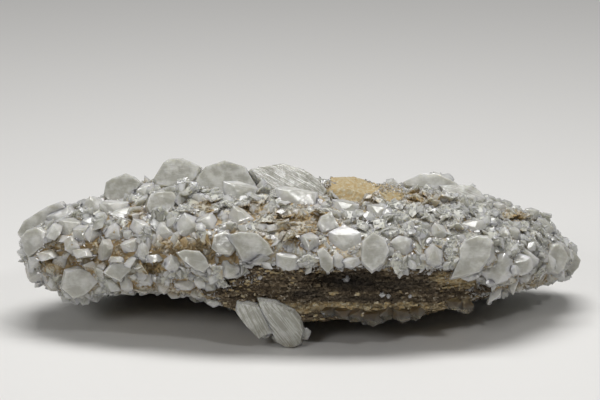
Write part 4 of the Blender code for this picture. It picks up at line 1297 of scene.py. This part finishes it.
def stage(colours):
    """The floor, the camera, the lights and a plain white sky."""
    body = bmesh.new()
    bmesh.ops.create_grid(body, x_segments=1, y_segments=1, size=4.0)
    mesh = bpy.data.meshes.new("floor")
    body.to_mesh(mesh)
    body.free()
    floor = placed("floor", mesh, floor_finish(colours))

    camera = bpy.data.cameras.new("front_view")
    camera.sensor_width = SENSOR_WIDTH
    camera.lens = SENSOR_WIDTH * VIEW_DISTANCE / VIEW_WIDTH
    holder = bpy.data.objects.new("front_view", camera)
    holder.location = (BLADE_TIP + UP * VIEW_MIDDLE) * MM + TOWARD * VIEW_DISTANCE
    holder.rotation_euler = (math.radians(90.0) - VIEW_DOWN, 0.0, 0.0)
    bpy.context.scene.collection.objects.link(holder)
    bpy.context.scene.camera = holder

    for light in LIGHTS:
        area_light(*light)
    world = bpy.data.worlds.new("studio")
    world.use_nodes = True
    sky = world.node_tree.nodes["Background"]
    sky.inputs["Color"].default_value = (1.0, 1.0, 1.0, 1.0)
    sky.inputs["Strength"].default_value = SKY_STRENGTH
    bpy.context.scene.world = world
    bpy.context.scene.view_settings.view_transform = "Standard"


class AddHostRock(Operator):
    """Add the bedded host rock and its grains"""

    bl_idname = "calcite_plate.add_host_rock"
    bl_label = "Host Rock"

    def execute(self, context):
        rock_surface(context.scene.plate_colours)
        rock_grains(context.scene.crystal_sizes)
        return {"FINISHED"}


class AddLargeCrystals(Operator):
    """Add the large crystals, each placed on the solids from the front view"""

    bl_idname = "calcite_plate.add_large_crystals"
    bl_label = "Large Crystals"

    def execute(self, context):
        large_crystals(context.scene.crystal_sizes, context.scene.plate_colours)
        return {"FINISHED"}


class AddMediumCrystals(Operator):
    """Add the medium crystals between the large ones"""

    bl_idname = "calcite_plate.add_medium_crystals"
    bl_label = "Medium Crystals"

    def execute(self, context):
        sizes = context.scene.crystal_sizes
        scattered("medium_crystals", sizes.medium_count, sizes.medium_length / MM)
        return {"FINISHED"}


class AddDruse(Operator):
    """Add the fine druse in the gaps"""

    bl_idname = "calcite_plate.add_druse"
    bl_label = "Druse"

    def execute(self, context):
        sizes = context.scene.crystal_sizes
        scattered("druse", sizes.druse_count, sizes.druse_length / MM)
        return {"FINISHED"}


class AddCrustBed(Operator):
    """Add the crust that the scattered crystals stand on"""

    bl_idname = "calcite_plate.add_crust_bed"
    bl_label = "Crust Bed"

    def execute(self, context):
        crust_bed(context.scene.plate_colours)
        return {"FINISHED"}


class AddBlades(Operator):
    """Add the pair of striated blades under the front edge"""

    bl_idname = "calcite_plate.add_blades"
    bl_label = "Hanging Blades"

    def execute(self, context):
        hanging_blades(context.scene.crystal_sizes, context.scene.plate_colours)
        return {"FINISHED"}


class AddFringes(Operator):
    """Add the rows of crystals under the front edge, darkened as painted shade"""

    bl_idname = "calcite_plate.add_fringes"
    bl_label = "Fringes"

    def execute(self, context):
        finish = calcite_finish("grey_calcite", context.scene.plate_colours)
        fringe("fringe_crystals_left", "fringe_left", FRINGE_LEFT, finish)
        fringe("fringe_crystals_right", "fringe_right", FRINGE_RIGHT, finish)
        return {"FINISHED"}


class AddStage(Operator):
    """Add the floor, the lights and the camera"""

    bl_idname = "calcite_plate.add_stage"
    bl_label = "Stage"

    def execute(self, context):
        stage(context.scene.plate_colours)
        return {"FINISHED"}


OPERATORS = (
    AddStage,
    AddHostRock,
    AddLargeCrystals,
    AddMediumCrystals,
    AddDruse,
    AddCrustBed,
    AddBlades,
    AddFringes,
)


class PlatePanel(Panel):
    """Lists the steps that build the plate, and its sizes and colours"""

    bl_idname = "VIEW3D_PT_calcite_plate"
    bl_label = "Calcite Plate"
    bl_space_type = "VIEW_3D"
    bl_region_type = "UI"
    bl_category = "Calcite Plate"

    def draw(self, context):
        column = self.layout.column(align=True)
        for operator in OPERATORS:
            column.operator(operator.bl_idname)
        for group in (context.scene.crystal_sizes, context.scene.plate_colours):
            box = self.layout.box()
            for name in group.__annotations__:
                box.prop(group, name)


CLASSES = (CrystalSizes, PlateColours, *OPERATORS, PlatePanel)


def register():
    for cls in CLASSES:
        bpy.utils.register_class(cls)
    bpy.types.Scene.crystal_sizes = PointerProperty(type=CrystalSizes)
    bpy.types.Scene.plate_colours = PointerProperty(type=PlateColours)


def unregister():
    del bpy.types.Scene.plate_colours
    del bpy.types.Scene.crystal_sizes
    for cls in reversed(CLASSES):
        bpy.utils.unregister_class(cls)


def main():
    register()
    state["around"] = Surroundings()
    for operator in OPERATORS:
        group, name = operator.bl_idname.split(".")
        getattr(getattr(bpy.ops, group), name)()


if __name__ == "__main__":
    main()
